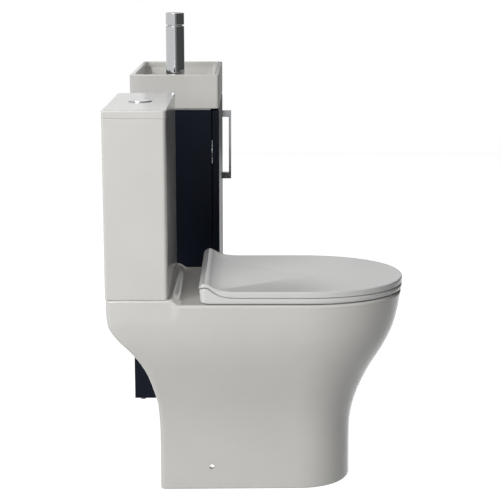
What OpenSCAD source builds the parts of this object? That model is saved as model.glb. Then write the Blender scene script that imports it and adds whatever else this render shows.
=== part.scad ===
// Toilet and slim vanity unit, standing side by side against one wall.
// Millimetres, +Z up. The origin is on the floor, in the middle of the set's plan.
// Each half is drawn in its own plan: x to the left of someone facing the wall, y out from the wall.

/* [Set] */
// Clear floor between the pan's deck and the vanity
set_gap = 302.5; // [200:0.5:600]

/* [Pan] */
// Width of the deck
deck_w = 354; // [330:1:380]
// Height of the deck above the floor
deck_h = 405; // [390:1:430]
// Nose of the pan from the wall
pan_reach = 598; // [575:1:640]
// Length of the rounded front of the deck
deck_bow = 204; // [180:1:230]
// Back of the deck from the wall
deck_back = 1; // [0.5:0.5:8]
// How far each side of the foot stands in from the deck at the back
foot_side_in = 59.5; // [45:0.5:70]
// How much further each side of the foot draws in towards the front
foot_taper = 5; // [0:0.5:15]
// How far the front of the foot stands back from the nose
foot_front_in = 103; // [80:1:130]
// How far the back of the foot stands forward of the deck's back
foot_back_in = 100; // [80:1:115]
// Length of the rounded front of the foot
foot_bow = 115; // [90:1:140]
// Thickness of the china skirt
skirt_t = 11; // [8:0.5:14]
// Thickness of the china deck
deck_t = 20; // [14:1:24]
// Round on the deck's upper edge
deck_edge_r = 6; // [3:0.5:9]
// Round on the pan's upright back edges
pan_corner_r = 10; // [6:1:16]
// Height of the platform under the cistern
platform_h = 10; // [4:1:20]
// Radius of the side fixing holes
side_hole_r = 5.3; // [4:0.1:7]
// Side fixing holes from the wall
side_hole_y = 207; // [170:1:300]
// Side fixing holes above the floor
side_hole_z = 48; // [35:1:60]

/* [Bowl and trap] */
// Width of the bowl's mouth
bowl_w = 236; // [210:1:250]
// Back of the bowl's mouth from the wall
bowl_back = 266; // [260:1:280]
// China left between the bowl's mouth and the pan's nose
bowl_nose = 38; // [34:1:50]
// Height of the bowl's floor, where the sump begins, above the pan's foot
bowl_floor = 165; // [155:1:175]
// Thickness of the bowl's wall
bowl_t = 12; // [8:0.5:13]
// Radius of the sump
sump_r = 48; // [44:1:50]
// Centre of the sump from the wall
sump_y = 345; // [335:1:350]
// Height of the sump's floor
sump_z = 90; // [86:1:100]
// Radius of the trapway's bore
trap_r = 28; // [25:0.5:30]
// Height of the weir, which sets the water's level
weir_z = 200; // [195:1:210]
// Radius of the outlet spigot
spigot_r = 51; // [48:0.5:55]
// Radius of the outlet's bore
spigot_bore_r = 41; // [38:0.5:43]
// Height of the outlet's centre line
spigot_z = 180; // [176:1:190]
// Open end of the outlet from the wall
spigot_end = 104; // [102:1:112]
// Length of the outlet that a connector slides over
spigot_len = 26; // [20:1:27]

/* [Cistern] */
// Width of the cistern
cistern_w = 345; // [325:1:350]
// Depth of the cistern from the wall
cistern_d = 124; // [121:1:130]
// Height of the cistern's body
tank_h = 356.5; // [330:0.5:380]
// Thickness of the cistern's walls
tank_t = 9; // [7:0.5:11]
// Thickness of the cistern's floor
tank_floor_t = 12; // [10:0.5:14]
// Round on the cistern's upright front edges
tank_front_r = 8; // [4:1:16]
// Round on the cistern's upright back edges
tank_back_r = 5; // [3:1:9]
// Height of the cistern's lid
cistern_lid_h = 16.5; // [14:0.5:24]
// How far the lid overhangs the body at the sides and front
cistern_lid_over = 0.8; // [0.5:0.1:3]
// Thickness of the lid's top
cistern_lid_t = 10; // [8:0.5:12]
// Gap between the lid's locating rib and the tank
lid_rib_gap = 1.5; // [1:0.1:3]
// Depth of the lid's locating rib
lid_rib_h = 8; // [5:0.5:12]

/* [Flush buttons] */
// Radius of the bezel's flange
bezel_r = 24.5; // [23:0.5:28]
// Thickness of the bezel's flange
bezel_t = 2.5; // [1.5:0.5:4]
// Radius of the bezel's sleeve
sleeve_r = 20; // [19:0.5:21]
// Wall of the bezel's sleeve
sleeve_t = 1.5; // [1:0.5:2]
// Width of the slit between the two buttons
button_slit = 1; // [0.6:0.1:2]
// How far a button travels
button_travel = 6; // [4:0.5:8]
// Height of a button
button_h = 14; // [12:1:20]
// Radius of a push rod
rod_r = 3; // [2.5:0.5:4]
// Half the distance between the push rods
rod_x = 14; // [13:0.5:15]

/* [Flush valve] */
// Radius of the valve's tail
tail_r = 30; // [28:0.5:31]
// Radius of the valve's base flange
valve_base_r = 42; // [38:1:46]
// Radius of the valve's cage
cage_r = 31; // [29:0.5:33]
// Height of the cage above the cistern's floor
cage_h = 228; // [200:1:250]
// Radius of the valve seat's bore
valve_bore_r = 20; // [18:0.5:22]
// Radius of the rubber seal
seal_r = 25; // [23.5:0.5:26]
// Thickness of the rubber seal
seal_t = 4; // [3:0.5:5]
// How far the seal lifts
seal_lift = 12; // [8:1:16]
// Radius of the overflow tube
overflow_r = 8; // [7:0.5:8.5]

/* [Fill valve] */
// Fill valve from the cistern's centre line
fill_x = -125; // [-130:1:-115]
// Radius of the inlet tail's thread
inlet_r = 10.4; // [10:0.1:10.8]
// Radius of the inlet tail where it passes the cistern and its nut
shank_r = 11; // [10.8:0.1:11.5]
// Length of the inlet tail below the cistern
inlet_len = 45; // [38:1:55]
// Radius of the valve's riser
riser_r = 9; // [7:0.5:10]
// Height of the float's stop above the cistern's floor
float_foot = 95; // [60:5:100]
// Radius of the float
float_r = 25; // [22:0.5:27]
// Height of the float
float_h = 70; // [55:1:80]
// How far the float rises
float_travel = 22; // [15:1:26]

/* [Seat and lid] */
// How far each side of the seat stands in from the deck
seat_in = 3; // [1:0.5:8]
// How far the seat's nose passes the pan's nose
seat_over = 2; // [1:0.5:6]
// Thickness of the seat ring along its sides
seat_t = 11; // [10:0.5:13]
// Gap between seat and deck
seat_gap = 2; // [1.5:0.5:4]
// Thickness of the lid at its rim
lid_t = 12.5; // [11:0.5:14]
// Gap between lid and seat
lid_gap = 1; // [0.8:0.1:2]
// How far the back of the seat rises above its sides
seat_rise = 20.5; // [19:0.5:21]
// How far the lid's back lip rises above its rim
lip_rise = 15.5; // [14:0.5:18]
// Depth of the dish in the lid
lid_dish = 7; // [3:0.5:7]
// How far the lid's underside is hollowed inside its rim
lid_hollow = 2; // [1:0.5:2]
// Width of the seat's hole
hole_w = 214; // [190:1:230]
// Height of the hinge pin above the deck
pivot_z = 15; // [14.5:0.5:16]
// Hinge pin from the wall
pivot_y = 196; // [195:1:199]
// Distance between the two hinges
hinge_pitch = 155; // [140:1:170]
// Radius of a hinge pin
pin_r = 4; // [3:0.5:5]
// Running clearance of the hinge pins
pin_fit = 0.05; // [0.02:0.01:0.1]
// Radius of a hinge knuckle
knuckle_r = 9; // [8:0.5:9.5]
// Width of a hinge post
post_w = 14; // [12:1:16]
// Width of one of the lid's knuckles
lid_knuckle_w = 6; // [5:0.5:8]
// Radius of a buffer
buffer_r = 7; // [5:0.5:9]
// How deep a buffer is let in
buffer_in = 3; // [2:0.5:4]

/* [Cabinet] */
// Width of the vanity
vanity_w = 424; // [380:1:500]
// Depth of the vanity, door and all
vanity_d = 211; // [195:1:260]
// Height of the cabinet
cabinet_h = 718.5; // [680:0.5:760]
// Thickness of the boards
board_t = 15; // [12:1:19]
// Height of the plinth
plinth_h = 72; // [50:1:100]
// How far the plinth stands back from the board edges
plinth_in = 22; // [10:1:40]
// Height of the glides under the side boards
glide_h = 3; // [2:0.5:5]
// Radius of a glide
glide_r = 6.5; // [5:0.5:7]
// Space kept behind the back board
service_gap = 20; // [12:1:25]
// Thickness of the back board
back_t = 3; // [3:1:5]
// Height of the shelf
shelf_z = 330; // [250:5:360]
// Height of the rail that is fixed to the wall
wall_rail_h = 90; // [70:1:95]
// Radius of the wall fixing holes
wall_hole_r = 2.75; // [2:0.25:4]
// Distance between the wall fixing holes
wall_hole_pitch = 300; // [260:5:340]

/* [Door] */
// Thickness of the door
door_t = 16; // [14:1:20]
// Gap between the door and the board edges
door_gap = 2; // [1.5:0.5:3]
// Reveal round the door
door_reveal = 1.5; // [1:0.5:3]
// Radius of a hinge cup
cup_r = 17.5; // [15:0.5:17.5]
// Depth of a hinge cup
cup_depth = 11.5; // [10:0.5:12]
// Cup centre from the door's edge
cup_edge = 22.5; // [21:0.5:25]
// Hinge centres from the door's top and bottom
hinge_end = 100; // [80:5:140]

/* [Handle] */
// Height of the handle
handle_h = 182; // [120:1:220]
// Underside of the handle above the floor
handle_z = 494; // [400:1:500]
// How far the handle stands out from the door
handle_out = 23.5; // [20:0.5:35]
// Thickness of the grip
grip_t = 6; // [5:0.5:9]
// Width of the handle
handle_w = 12; // [9:1:16]
// Height of each foot of the handle
handle_foot = 17; // [14:1:22]
// Handle centre line from the door's free edge
handle_edge = 38; // [25:1:60]
// Radius of the handle screws
handle_screw_r = 2; // [1.5:0.25:2.5]

/* [Basin] */
// Height of the basin's side
basin_h = 80.5; // [70:0.5:100]
// Height of the recessed foot under the basin
basin_foot_h = 3; // [2:0.5:5]
// How far that foot stands in
basin_foot_in = 5; // [3:0.5:8]
// Thickness of the rim
rim_t = 12; // [9:0.5:15]
// Round on the basin's upright edges
basin_corner_r = 6; // [3:0.5:9]
// Depth of the tap ledge below the rim
ledge_in = 12; // [8:0.5:16]
// Width of the tap ledge
ledge_w = 100; // [90:1:115]
// Thickness of the basin's floor
basin_floor_t = 14; // [12:0.5:18]
// Draft of the bowl's sides
bowl_draft = 14; // [8:0.5:16]
// Waste from the basin's centre line
waste_x = -60; // [-80:1:-40]
// Radius of the waste hole
waste_hole_r = 22.5; // [21:0.5:24]

/* [Tap] */
// Tap centre from the toilet-side edge of the basin
tap_edge = 58; // [54:1:62]
// Radius of the tap's body
tap_r = 22; // [18:0.5:24]
// Height of the tap's body
tap_body_h = 121; // [100:1:150]
// Top of the head above the body
head_h = 31; // [20:1:35]
// Gap between head and body
head_gap = 3; // [2:0.5:4]
// Radius of the tap hole
tap_hole_r = 17; // [16:0.5:18]
// Radius of the spout
spout_r = 13; // [10:0.5:14]
// Reach of the spout from the tap's centre
spout_reach = 108; // [95:1:115]
// Height of the spout's centre above the tap's foot
spout_z = 80; // [60:1:88]
// Radius of the lever pin
lever_r = 4.5; // [3:0.5:6]
// Length of the lever pin past the head
lever_len = 42; // [25:1:50]
// Radius of the cartridge
cartridge_r = 17; // [15:0.5:17.5]
// Radius of the cartridge's stem
stem_r = 5; // [4:0.5:6]

/* [Waste and bottle trap] */
// Radius of the waste's flange
waste_flange_r = 32; // [30:0.5:33]
// Radius of the waste's tube
waste_tube_r = 19; // [18:0.5:20]
// How far the plug rises
plug_travel = 8; // [5:0.5:10]
// Radius of the plug
plug_r = 30; // [26:0.5:31]
// Radius of the trap's body
trap_body_r = 30; // [26:1:34]
// Height of the trap's body
trap_body_h = 98; // [92:1:110]
// Height of the trap's cup
trap_cup_h = 38; // [30:1:50]
// Radius of the trap's outlet pipe
outlet_r = 16; // [15:0.5:17]
// Height of the outlet pipe's centre line above the trap's floor
outlet_up = 24.5; // [21:0.5:30]

/* [Hidden] */
$fn = 48;
overcut = 1;
snug = 0.1;
thin_gap = 0.3;

total_w = deck_w + set_gap + vanity_w;
total_d = pan_reach + seat_over;
toilet_x = deck_w / 2 - total_w / 2;
vanity_x = total_w / 2 - vanity_w / 2;
wall_y = total_d / 2;

// Heights on the toilet
bowl_depth = deck_h - bowl_floor;
joint_z = deck_h + platform_h;
tank_floor_z = joint_z + tank_floor_t;
tank_top_z = joint_z + tank_h;
cistern_top_z = tank_top_z + cistern_lid_h;
valve_y = cistern_d / 2;
china = "whitesmoke";
pivot_h = deck_h + pivot_z;
seat_z = deck_h + seat_gap;
lid_z = seat_z + seat_t + lid_gap;

// Heights on the vanity
basin_z = cabinet_h + basin_foot_h;
rim_z = basin_z + basin_h;
ledge_z = rim_z - ledge_in;
basin_y = vanity_d / 2;
tap_x = vanity_w / 2 - tap_edge;
board_d = vanity_d - door_t - door_gap;
inner_w = vanity_w - 2 * board_t;
navy = "midnightblue";

function mix(a, b, t) = a + (b - a) * t;
function ease(t) = let (c = min(max(t, 0), 1)) c * c * (3 - 2 * c);
function power(a, n) = sign(a) * pow(abs(a), n);

// Smooth curve through a few keys, each a place and a value
function slope(a, b) = a[0] == b[0] ? 0 : (b[1] - a[1]) / (b[0] - a[0]);
function curve(keys, t, i = 0) =
    i < len(keys) - 2 && t > keys[i + 1][0] ? curve(keys, t, i + 1) :
    let (
        a = keys[i],
        b = keys[i + 1],
        before = keys[max(i - 1, 0)],
        after = keys[min(i + 2, len(keys) - 1)],
        span = b[0] - a[0],
        u = (t - a[0]) / span
    )
    a[1] * (1 - u) * (1 - u) * (1 + 2 * u) + b[1] * u * u * (3 - 2 * u)
    + span * u * (1 - u) * ((1 - u) * slope(before, b) - u * slope(a, after));

// Plan outline with a squared back and a rounded front, in the same number of points whatever its size
bow_steps = 28;
corner_steps = 4;
function d_plan(back_hw, front_hw, back, front, bow, roundness, corner, sides = [0.25, 0.5, 0.75]) =
    let (
        start = front - bow,
        cx = back_hw - corner,
        cy = back + corner
    )
    [
        for (i = [0:bow_steps])
            let (a = 180 * i / bow_steps)
            [front_hw * power(cos(a), 2 / roundness), start + bow * power(sin(a), 2 / roundness)],
        for (t = sides)
            [-mix(front_hw, back_hw, t), mix(start, cy, t)],
        for (i = [0:corner_steps])
            let (a = 180 + 90 * i / corner_steps)
            [-cx + corner * cos(a), cy + corner * sin(a)],
        for (i = [0:corner_steps])
            let (a = 270 + 90 * i / corner_steps)
            [cx + corner * cos(a), cy + corner * sin(a)],
        for (i = [len(sides) - 1:-1:0])
            let (t = sides[i])
            [mix(front_hw, back_hw, t), mix(start, cy, t)]
    ];
function raise(plan, z) = [for (p = plan) [p[0], p[1], z]];
// Circle whose points lie on the same rays as a plan's, to close a skin's end evenly
function on_rays(plan, centre_y, r) = [
    for (p = plan)
        let (a = atan2(p[1] - centre_y, p[0]))
        [r * cos(a), centre_y + r * sin(a)]
];

// Rounded rectangle in plan, with one radius at the wall side and one at the front
function round_plan(hw, back, front, back_r, front_r, steps = 6) = [
    for (i = [0:steps])
        let (a = 90 * i / steps)
        [hw - front_r + front_r * cos(a), front - front_r + front_r * sin(a)],
    for (i = [0:steps])
        let (a = 90 + 90 * i / steps)
        [-hw + front_r + front_r * cos(a), front - front_r + front_r * sin(a)],
    for (i = [0:steps])
        let (a = 180 + 90 * i / steps)
        [-hw + back_r + back_r * cos(a), back + back_r + back_r * sin(a)],
    for (i = [0:steps])
        let (a = 270 + 90 * i / steps)
        [hw - back_r + back_r * cos(a), back + back_r + back_r * sin(a)]
];

// Closed skin over rings of equal point counts, with flat ends or joined end to start
module skin(rings, loop = false) {
    m = len(rings[0]);
    n = len(rings);
    rows = loop ? n - 1 : n - 2;
    sides = [
        for (i = [0:rows])
            for (j = [0:m - 1])
                let (
                    k = (i + 1) % n,
                    a = i * m + j,
                    b = i * m + (j + 1) % m,
                    c = k * m + (j + 1) % m,
                    d = k * m + j
                )
                each [[a, c, b], [a, d, c]]
    ];
    ends = loop ? [] : [[for (j = [0:m - 1]) j], [for (j = [m - 1:-1:0]) (n - 1) * m + j]];
    polyhedron([for (r = rings) each r], concat(sides, ends));
}

module at_toilet() {
    translate([toilet_x, wall_y, 0]) rotate([0, 0, 180]) children();
}
module at_vanity() {
    translate([vanity_x, wall_y, 0]) rotate([0, 0, 180]) children();
}
module block(x, y, z) {
    translate([x[0], y[0], z[0]]) cube([x[1] - x[0], y[1] - y[0], z[1] - z[0]]);
}
module post(r, z, at = [0, 0]) {
    translate([at[0], at[1], z[0]]) cylinder(r = r, h = z[1] - z[0]);
}
module rod_x_way(r, x, y, z) {
    translate([x[0], y, z]) rotate([0, 90, 0]) cylinder(r = r, h = x[1] - x[0]);
}
module rod_y_way(r, x, y, z) {
    translate([x, y[0], z]) rotate([-90, 0, 0]) cylinder(r = r, h = y[1] - y[0]);
}
module ring(outer, inner, z, at = [0, 0]) {
    difference() {
        post(outer, z, at);
        post(inner, [z[0] - overcut, z[1] + overcut], at);
    }
}
module both_sides(x) {
    for (side = [-1, 1]) translate([side * x, 0, 0]) children();
}

// Pan: how far the side, front and back stand in from the deck, by share of the pan's height
side_keys = [
    [0, 1], [0.2, 1.02], [0.32, 0.97], [0.44, 0.83], [0.58, 0.55], [0.72, 0.25], [0.81, 0.1], [0.9, 0.03],
    [1, 0]
];
front_keys = [
    [0, 1], [0.2, 1.005], [0.32, 0.985], [0.44, 0.875], [0.58, 0.635], [0.72, 0.31], [0.81, 0.15],
    [0.9, 0.06], [1, 0]
];
back_keys = [
    [0, 1], [0.32, 1], [0.44, 0.975], [0.48, 0.955], [0.62, 0.79], [0.7, 0.62], [0.76, 0.43], [0.81, 0.24],
    [0.87, 0.065], [0.94, 0], [1, 0]
];
pan_levels = [
    0.01, 0.1, 0.2, 0.28, 0.35, 0.41, 0.47, 0.53, 0.58, 0.63, 0.68, 0.72, 0.76, 0.8, 0.84, 0.88, 0.93
];
skirt_levels = [0.87, 0.8, 0.72, 0.63, 0.53, 0.41, 0.28, 0.1, 0];

function pan_plan(level, inset) =
    let (
        side = foot_side_in * curve(side_keys, level),
        hw = deck_w / 2 - side - inset,
        back = deck_back + foot_back_in * curve(back_keys, level) + inset,
        front = pan_reach - foot_front_in * curve(front_keys, level) - inset,
        bow = mix(deck_bow, foot_bow, side / foot_side_in) - inset,
        taper = foot_taper * side / foot_side_in,
        corner = max(pan_corner_r - inset, 3)
    )
    d_plan(hw, hw - taper, back, front, bow, 2.15, corner);

// Bowl: how far its side, front and back draw in, by share of its depth
bowl_side_keys = [[0, 0], [0.3, 8], [0.55, 24], [0.8, 44], [1, 58]];
bowl_front_keys = [[0, 0], [0.3, 12], [0.55, 44], [0.8, 88], [1, 118]];
bowl_back_keys = [[0, 0], [0.3, 3], [0.55, 9], [0.8, 17], [1, 22]];
bowl_levels = [1, 0.9, 0.8, 0.68, 0.56, 0.44, 0.32, 0.2, 0.13];

function bowl_plan(level, grow) =
    let (
        hw = bowl_w / 2 - curve(bowl_side_keys, level) + grow,
        back = bowl_back + curve(bowl_back_keys, level) - grow,
        front = pan_reach - bowl_nose - curve(bowl_front_keys, level) + grow
    )
    d_plan(hw, hw, back, front, (front - back) * 0.62, 2.05, min(hw, (front - back) * 0.36));

bowl_foot_y = 365;
bowl_foot = on_rays(bowl_plan(1, 0), bowl_foot_y, 20);
deck_under_z = deck_h - deck_t;
bowl_top_level = deck_t / bowl_depth;
// Outside of the bowl, from its floor up to the deck's underside
bowl_outside = [
    raise(bowl_foot, bowl_floor - bowl_t),
    for (level = bowl_levels)
        raise(bowl_plan(level, bowl_t), deck_h - (bowl_depth + bowl_t) * level),
    raise(bowl_plan(bowl_top_level, bowl_t), deck_under_z)
];

// Waterways in the china
inlet_recess_r = valve_base_r + 5;
inlet_bore_r = 24;
channel_r = 18;
china_t = 10;
channel_z = deck_under_z - channel_r - china_t;
channel_y = [valve_y, bowl_back + 12];
back_opening_hw = 85;
low_reach_z = sump_z + trap_r;
crown_z = weir_z + trap_r;
riser_lean = 10;
riser_foot = [bowl_back - 7, sump_z + 3];
riser_len = (crown_z + 22 - riser_foot[1]) / cos(riser_lean);
drop_r = trap_r + 2;
drop_y = riser_foot[0] - 87;
bolt_x = 75;
bolt_r = 4;
fill_hole_r = 20;
hinge_y = pivot_y + 10;
hinge_hole_r = 6;

// The pan's china is one casting, drawn as its skirt, its deck, its bowl and its waterways
module pan_skirt() {
    top = 1 - deck_t / deck_h;
    opening_z = spigot_z + spigot_r + 14;
    rings = [
        raise(pan_plan(top, skirt_t), deck_under_z),
        for (level = skirt_levels)
            raise(pan_plan(level, skirt_t), level * deck_h),
        raise(pan_plan(0, 1.5), 0),
        for (level = pan_levels)
            raise(pan_plan(level, 0), level * deck_h),
        raise(pan_plan(top, 0), deck_under_z)
    ];
    color(china) at_toilet() difference() {
        skin(rings, loop = true);
        block(
            [-back_opening_hw, back_opening_hw], [-overcut, deck_back + foot_back_in + 2 * skirt_t],
            [-overcut, opening_z]);
        rod_x_way(side_hole_r, [-deck_w / 2, deck_w / 2], side_hole_y, side_hole_z);
    }
}

module pan_deck() {
    rings = [
        raise(pan_plan(1 - deck_t / deck_h, 0), deck_under_z),
        raise(pan_plan(1, 0), deck_h - deck_edge_r),
        raise(pan_plan(1, deck_edge_r * 0.3), deck_h - deck_edge_r * 0.3),
        raise(pan_plan(1, deck_edge_r), deck_h),
        raise(bowl_plan(0, 4), deck_h),
        raise(bowl_plan(0.02, 0), deck_h - bowl_depth * 0.02),
        raise(bowl_plan(bowl_top_level, 0), deck_under_z)
    ];
    through = [deck_under_z - overcut, joint_z + overcut];
    color(china) at_toilet() difference() {
        union() {
            skin(rings, loop = true);
            translate([0, 0, deck_h - deck_t / 2])
                linear_extrude(platform_h + deck_t / 2)
                polygon(round_plan(cistern_w / 2 + 1, deck_back, cistern_d + 4, pan_corner_r, tank_front_r));
        }
        post(inlet_recess_r, through, [0, valve_y]);
        both_sides(bolt_x) post(bolt_r + 1, through, [0, valve_y]);
        post(fill_hole_r, through, [fill_x, valve_y]);
        both_sides(hinge_pitch / 2) post(hinge_hole_r, through, [0, hinge_y]);
    }
}

module pan_bowl() {
    inside = [
        raise(bowl_plan(bowl_top_level, 0), deck_under_z),
        for (i = [len(bowl_levels) - 1:-1:0])
            raise(bowl_plan(bowl_levels[i], 0), deck_h - bowl_depth * bowl_levels[i]),
        raise(bowl_foot, bowl_floor)
    ];
    color(china) at_toilet() difference() {
        skin(concat(bowl_outside, inside));
        rod_y_way(channel_r, 0, channel_y, channel_z);
        post(sump_r, [sump_z, bowl_floor + overcut], [0, sump_y]);
    }
}

// Trapway, bare or with its wall: back from the sump, up behind the bowl, over the weir and down
module trapway(wall) {
    r = trap_r + wall;
    rod_y_way(r, 0, [riser_foot[0] - 4, sump_y], low_reach_z);
    translate([0, riser_foot[0], riser_foot[1]]) rotate([riser_lean, 0, 0])
        translate([0, 0, -wall]) cylinder(r = r, h = riser_len + 2 * wall);
    rod_y_way(r, 0, [drop_y, riser_foot[0] - 22], crown_z);
    post(drop_r + wall, [spigot_z, crown_z + 22 + wall], [0, drop_y]);
}

module pan_waterways() {
    spigot_back = drop_y + drop_r;
    color(china) at_toilet() difference() {
        union() {
            post(inlet_recess_r + 2, [deck_under_z - 6, deck_under_z], [0, valve_y]);
            post(inlet_bore_r + 8, [channel_z - channel_r, deck_under_z], [0, valve_y]);
            rod_y_way(channel_r + china_t, 0, [valve_y, bowl_back + 2], channel_z);
            post(sump_r + china_t, [sump_z - china_t, bowl_floor - bowl_t], [0, sump_y]);
            trapway(china_t);
            rod_y_way(spigot_r, 0, [spigot_end, spigot_end + spigot_len], spigot_z);
            rod_y_way(spigot_r - 1, 0, [spigot_end + overcut, spigot_back + china_t], spigot_z);
        }
        skin(bowl_outside);
        post(inlet_bore_r, [channel_z, deck_under_z + overcut], [0, valve_y]);
        rod_y_way(channel_r, 0, channel_y, channel_z);
        post(sump_r, [sump_z, bowl_floor + overcut], [0, sump_y]);
        trapway(0);
        rod_y_way(spigot_bore_r, 0, [spigot_end - overcut, spigot_back], spigot_z);
    }
}

module cistern_tank() {
    hw = cistern_w / 2;
    tank_inner_r = max(tank_front_r - tank_t, 3);
    color(china) at_toilet() difference() {
        translate([0, 0, joint_z]) linear_extrude(tank_h)
            polygon(round_plan(hw, 0, cistern_d, tank_back_r, tank_front_r));
        translate([0, 0, tank_floor_z]) linear_extrude(tank_h)
            polygon(round_plan(hw - tank_t, tank_t, cistern_d - tank_t, tank_back_r, tank_inner_r));
        post(tail_r + 2, [joint_z - overcut, tank_floor_z + overcut], [0, valve_y]);
        post(shank_r + 0.5, [joint_z - overcut, tank_floor_z + overcut], [fill_x, valve_y]);
        both_sides(bolt_x) post(bolt_r + 1, [joint_z - overcut, tank_floor_z + overcut], [0, valve_y]);
    }
}

module cistern_lid() {
    hw = cistern_w / 2;
    inset = tank_t + lid_rib_gap;
    rib_t = 5;
    rib_in = inset + rib_t;
    color(china) at_toilet() difference() {
        union() {
            translate([0, 0, tank_top_z]) linear_extrude(cistern_lid_h)
                polygon(round_plan(
                    hw + cistern_lid_over, 0, cistern_d + cistern_lid_over, tank_back_r, tank_front_r));
            translate([0, 0, tank_top_z - lid_rib_h]) linear_extrude(lid_rib_h + overcut)
                polygon(round_plan(hw - inset, inset, cistern_d - inset, tank_back_r, 6));
        }
        translate([0, 0, tank_top_z - lid_rib_h - overcut])
            linear_extrude(lid_rib_h + overcut + cistern_lid_h - cistern_lid_t)
            polygon(round_plan(hw - rib_in, rib_in, cistern_d - rib_in, 3, 3));
        post(sleeve_r + thin_gap, [tank_top_z, cistern_top_z + overcut], [0, valve_y]);
    }
}

// Flush buttons
button_r = sleeve_r - sleeve_t - thin_gap;
button_top_z = cistern_top_z + bezel_t - 0.5;
button_foot_z = button_top_z - button_h;
sleeve_foot_z = button_foot_z - button_travel - 14;
bezel_nut_t = 8;

module button_bezel() {
    color("silver") at_toilet() {
        ring(bezel_r, sleeve_r - sleeve_t, [cistern_top_z, cistern_top_z + bezel_t], [0, valve_y]);
        ring(sleeve_r, sleeve_r - sleeve_t, [sleeve_foot_z, cistern_top_z], [0, valve_y]);
    }
}

module bezel_nut() {
    top = cistern_top_z - cistern_lid_t;
    color("white") at_toilet() ring(bezel_r, sleeve_r + snug, [top - bezel_nut_t, top], [0, valve_y]);
}

module half_disc(side) {
    reach = 2 * button_r;
    x = side > 0 ? [button_slit / 2, reach] : [-reach, -button_slit / 2];
    intersection() {
        post(button_r, [button_foot_z, button_top_z], [0, valve_y]);
        block(x, [valve_y - reach, valve_y + reach], [button_foot_z - overcut, button_top_z + overcut]);
    }
}

module full_flush_button() {
    color("silver") at_toilet() half_disc(1);
}

module half_flush_button() {
    color("silver") at_toilet() half_disc(-1);
}

module push_rod(side) {
    post(rod_r, [cage_top_z - rod_in, button_foot_z], [side * rod_x, valve_y]);
}

module full_flush_rod() {
    color("white") at_toilet() push_rod(1);
}

module half_flush_rod() {
    color("white") at_toilet() push_rod(-1);
}

// Flush valve: base and tail, cage with windows at its foot, and a cap with the rods' wells
base_t = 7;
seat_lip_z = tank_floor_z + base_t;
cage_top_z = tank_floor_z + cage_h;
cage_t = 2.5;
cage_window_h = seal_t + seal_lift + 24;
cage_window_w = 28;
cage_cap_t = 10;
rod_in = cage_cap_t / 2;
rod_well_r = rod_r + 1.5;
piston_foot = 4;
piston_flange_t = 5;
overflow_h = 18;
overflow_t = 2;
tail_foot_z = deck_under_z + 8;
washer_h = 20;
valve_nut_h = joint_z - deck_under_z - washer_h;

module flush_valve_body() {
    cap = [cage_top_z - cage_cap_t - overcut, cage_top_z + overcut];
    windows = [valve_y - cage_window_w / 2, valve_y + cage_window_w / 2];
    color("white") at_toilet() difference() {
        union() {
            post(valve_base_r, [tank_floor_z, seat_lip_z], [0, valve_y]);
            post(tail_r, [tail_foot_z, seat_lip_z], [0, valve_y]);
            post(cage_r, [tank_floor_z, cage_top_z], [0, valve_y]);
        }
        post(valve_bore_r, [tail_foot_z - overcut, seat_lip_z + overcut], [0, valve_y]);
        post(cage_r - cage_t, [seat_lip_z, cage_top_z - cage_cap_t], [0, valve_y]);
        block([-cage_r - overcut, cage_r + overcut], windows, [seat_lip_z, seat_lip_z + cage_window_h]);
        post(overflow_r + thin_gap, cap, [0, valve_y]);
        both_sides(rod_x) post(rod_well_r, cap, [0, valve_y]);
    }
}

module flush_valve_seal() {
    color("dimgray") at_toilet()
        ring(seal_r, overflow_r + snug, [seat_lip_z, seat_lip_z + seal_t], [0, valve_y]);
}

module flush_valve_piston() {
    flange_z = seat_lip_z + seal_t;
    foot_z = seat_lip_z - piston_foot;
    color("white") at_toilet() difference() {
        union() {
            post(overflow_r, [foot_z, cage_top_z + overflow_h], [0, valve_y]);
            post(seal_r - 1, [flange_z, flange_z + piston_flange_t], [0, valve_y]);
        }
        post(overflow_r - overflow_t, [foot_z - overcut, cage_top_z + overflow_h + overcut], [0, valve_y]);
    }
}

module valve_nuts() {
    color("white") at_toilet() {
        ring(valve_base_r, tail_r + snug, [joint_z - valve_nut_h, joint_z], [0, valve_y]);
        ring(fill_hole_r - 4, shank_r + snug, [joint_z - fill_nut_h, joint_z], fill_at);
    }
}

module coupling_washer() {
    color("dimgray") at_toilet()
        ring(valve_base_r + 3, tail_r + snug, [deck_under_z, deck_under_z + washer_h], [0, valve_y]);
}

// Fill valve: riser with a flange below, a stop under the float and the valve's head on top
float_z = tank_floor_z + float_foot;
float_t = 3;
stop_t = 4;
head_space = 18;
valve_head_z = float_z + float_h + float_travel + head_space;
valve_head_h = 30;
valve_head_r = 21;
fill_flange_t = 5;
fill_nut_h = 14;
fill_at = [fill_x, valve_y];

module fill_valve_body() {
    top_z = valve_head_z + valve_head_h;
    color("white") at_toilet() {
        post(inlet_r, [joint_z - inlet_len, joint_z - fill_nut_h], fill_at);
        post(shank_r, [joint_z - fill_nut_h - 3, tank_floor_z], fill_at);
        post(riser_r + 8, [tank_floor_z, tank_floor_z + fill_flange_t], fill_at);
        post(riser_r, [tank_floor_z, top_z], fill_at);
        post(riser_r + 5, [float_z - stop_t, float_z], fill_at);
        post(valve_head_r, [valve_head_z, top_z], fill_at);
    }
}

module fill_valve_float() {
    sleeve_r = riser_r + thin_gap;
    color("lightgray") at_toilet() difference() {
        post(float_r, [float_z, float_z + float_h], fill_at);
        difference() {
            post(float_r - float_t, [float_z - overcut, float_z + float_h - float_t], fill_at);
            post(sleeve_r + float_t, [float_z - 2 * overcut, float_z + float_h], fill_at);
        }
        post(sleeve_r, [float_z - overcut, float_z + float_h + overcut], fill_at);
    }
}

// Fixings between cistern and pan
bolt_head_r = 9;
bolt_head_h = 6;
rubber_t = 3;
nut_h = 8;
bolt_past_nut = 14;

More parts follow.
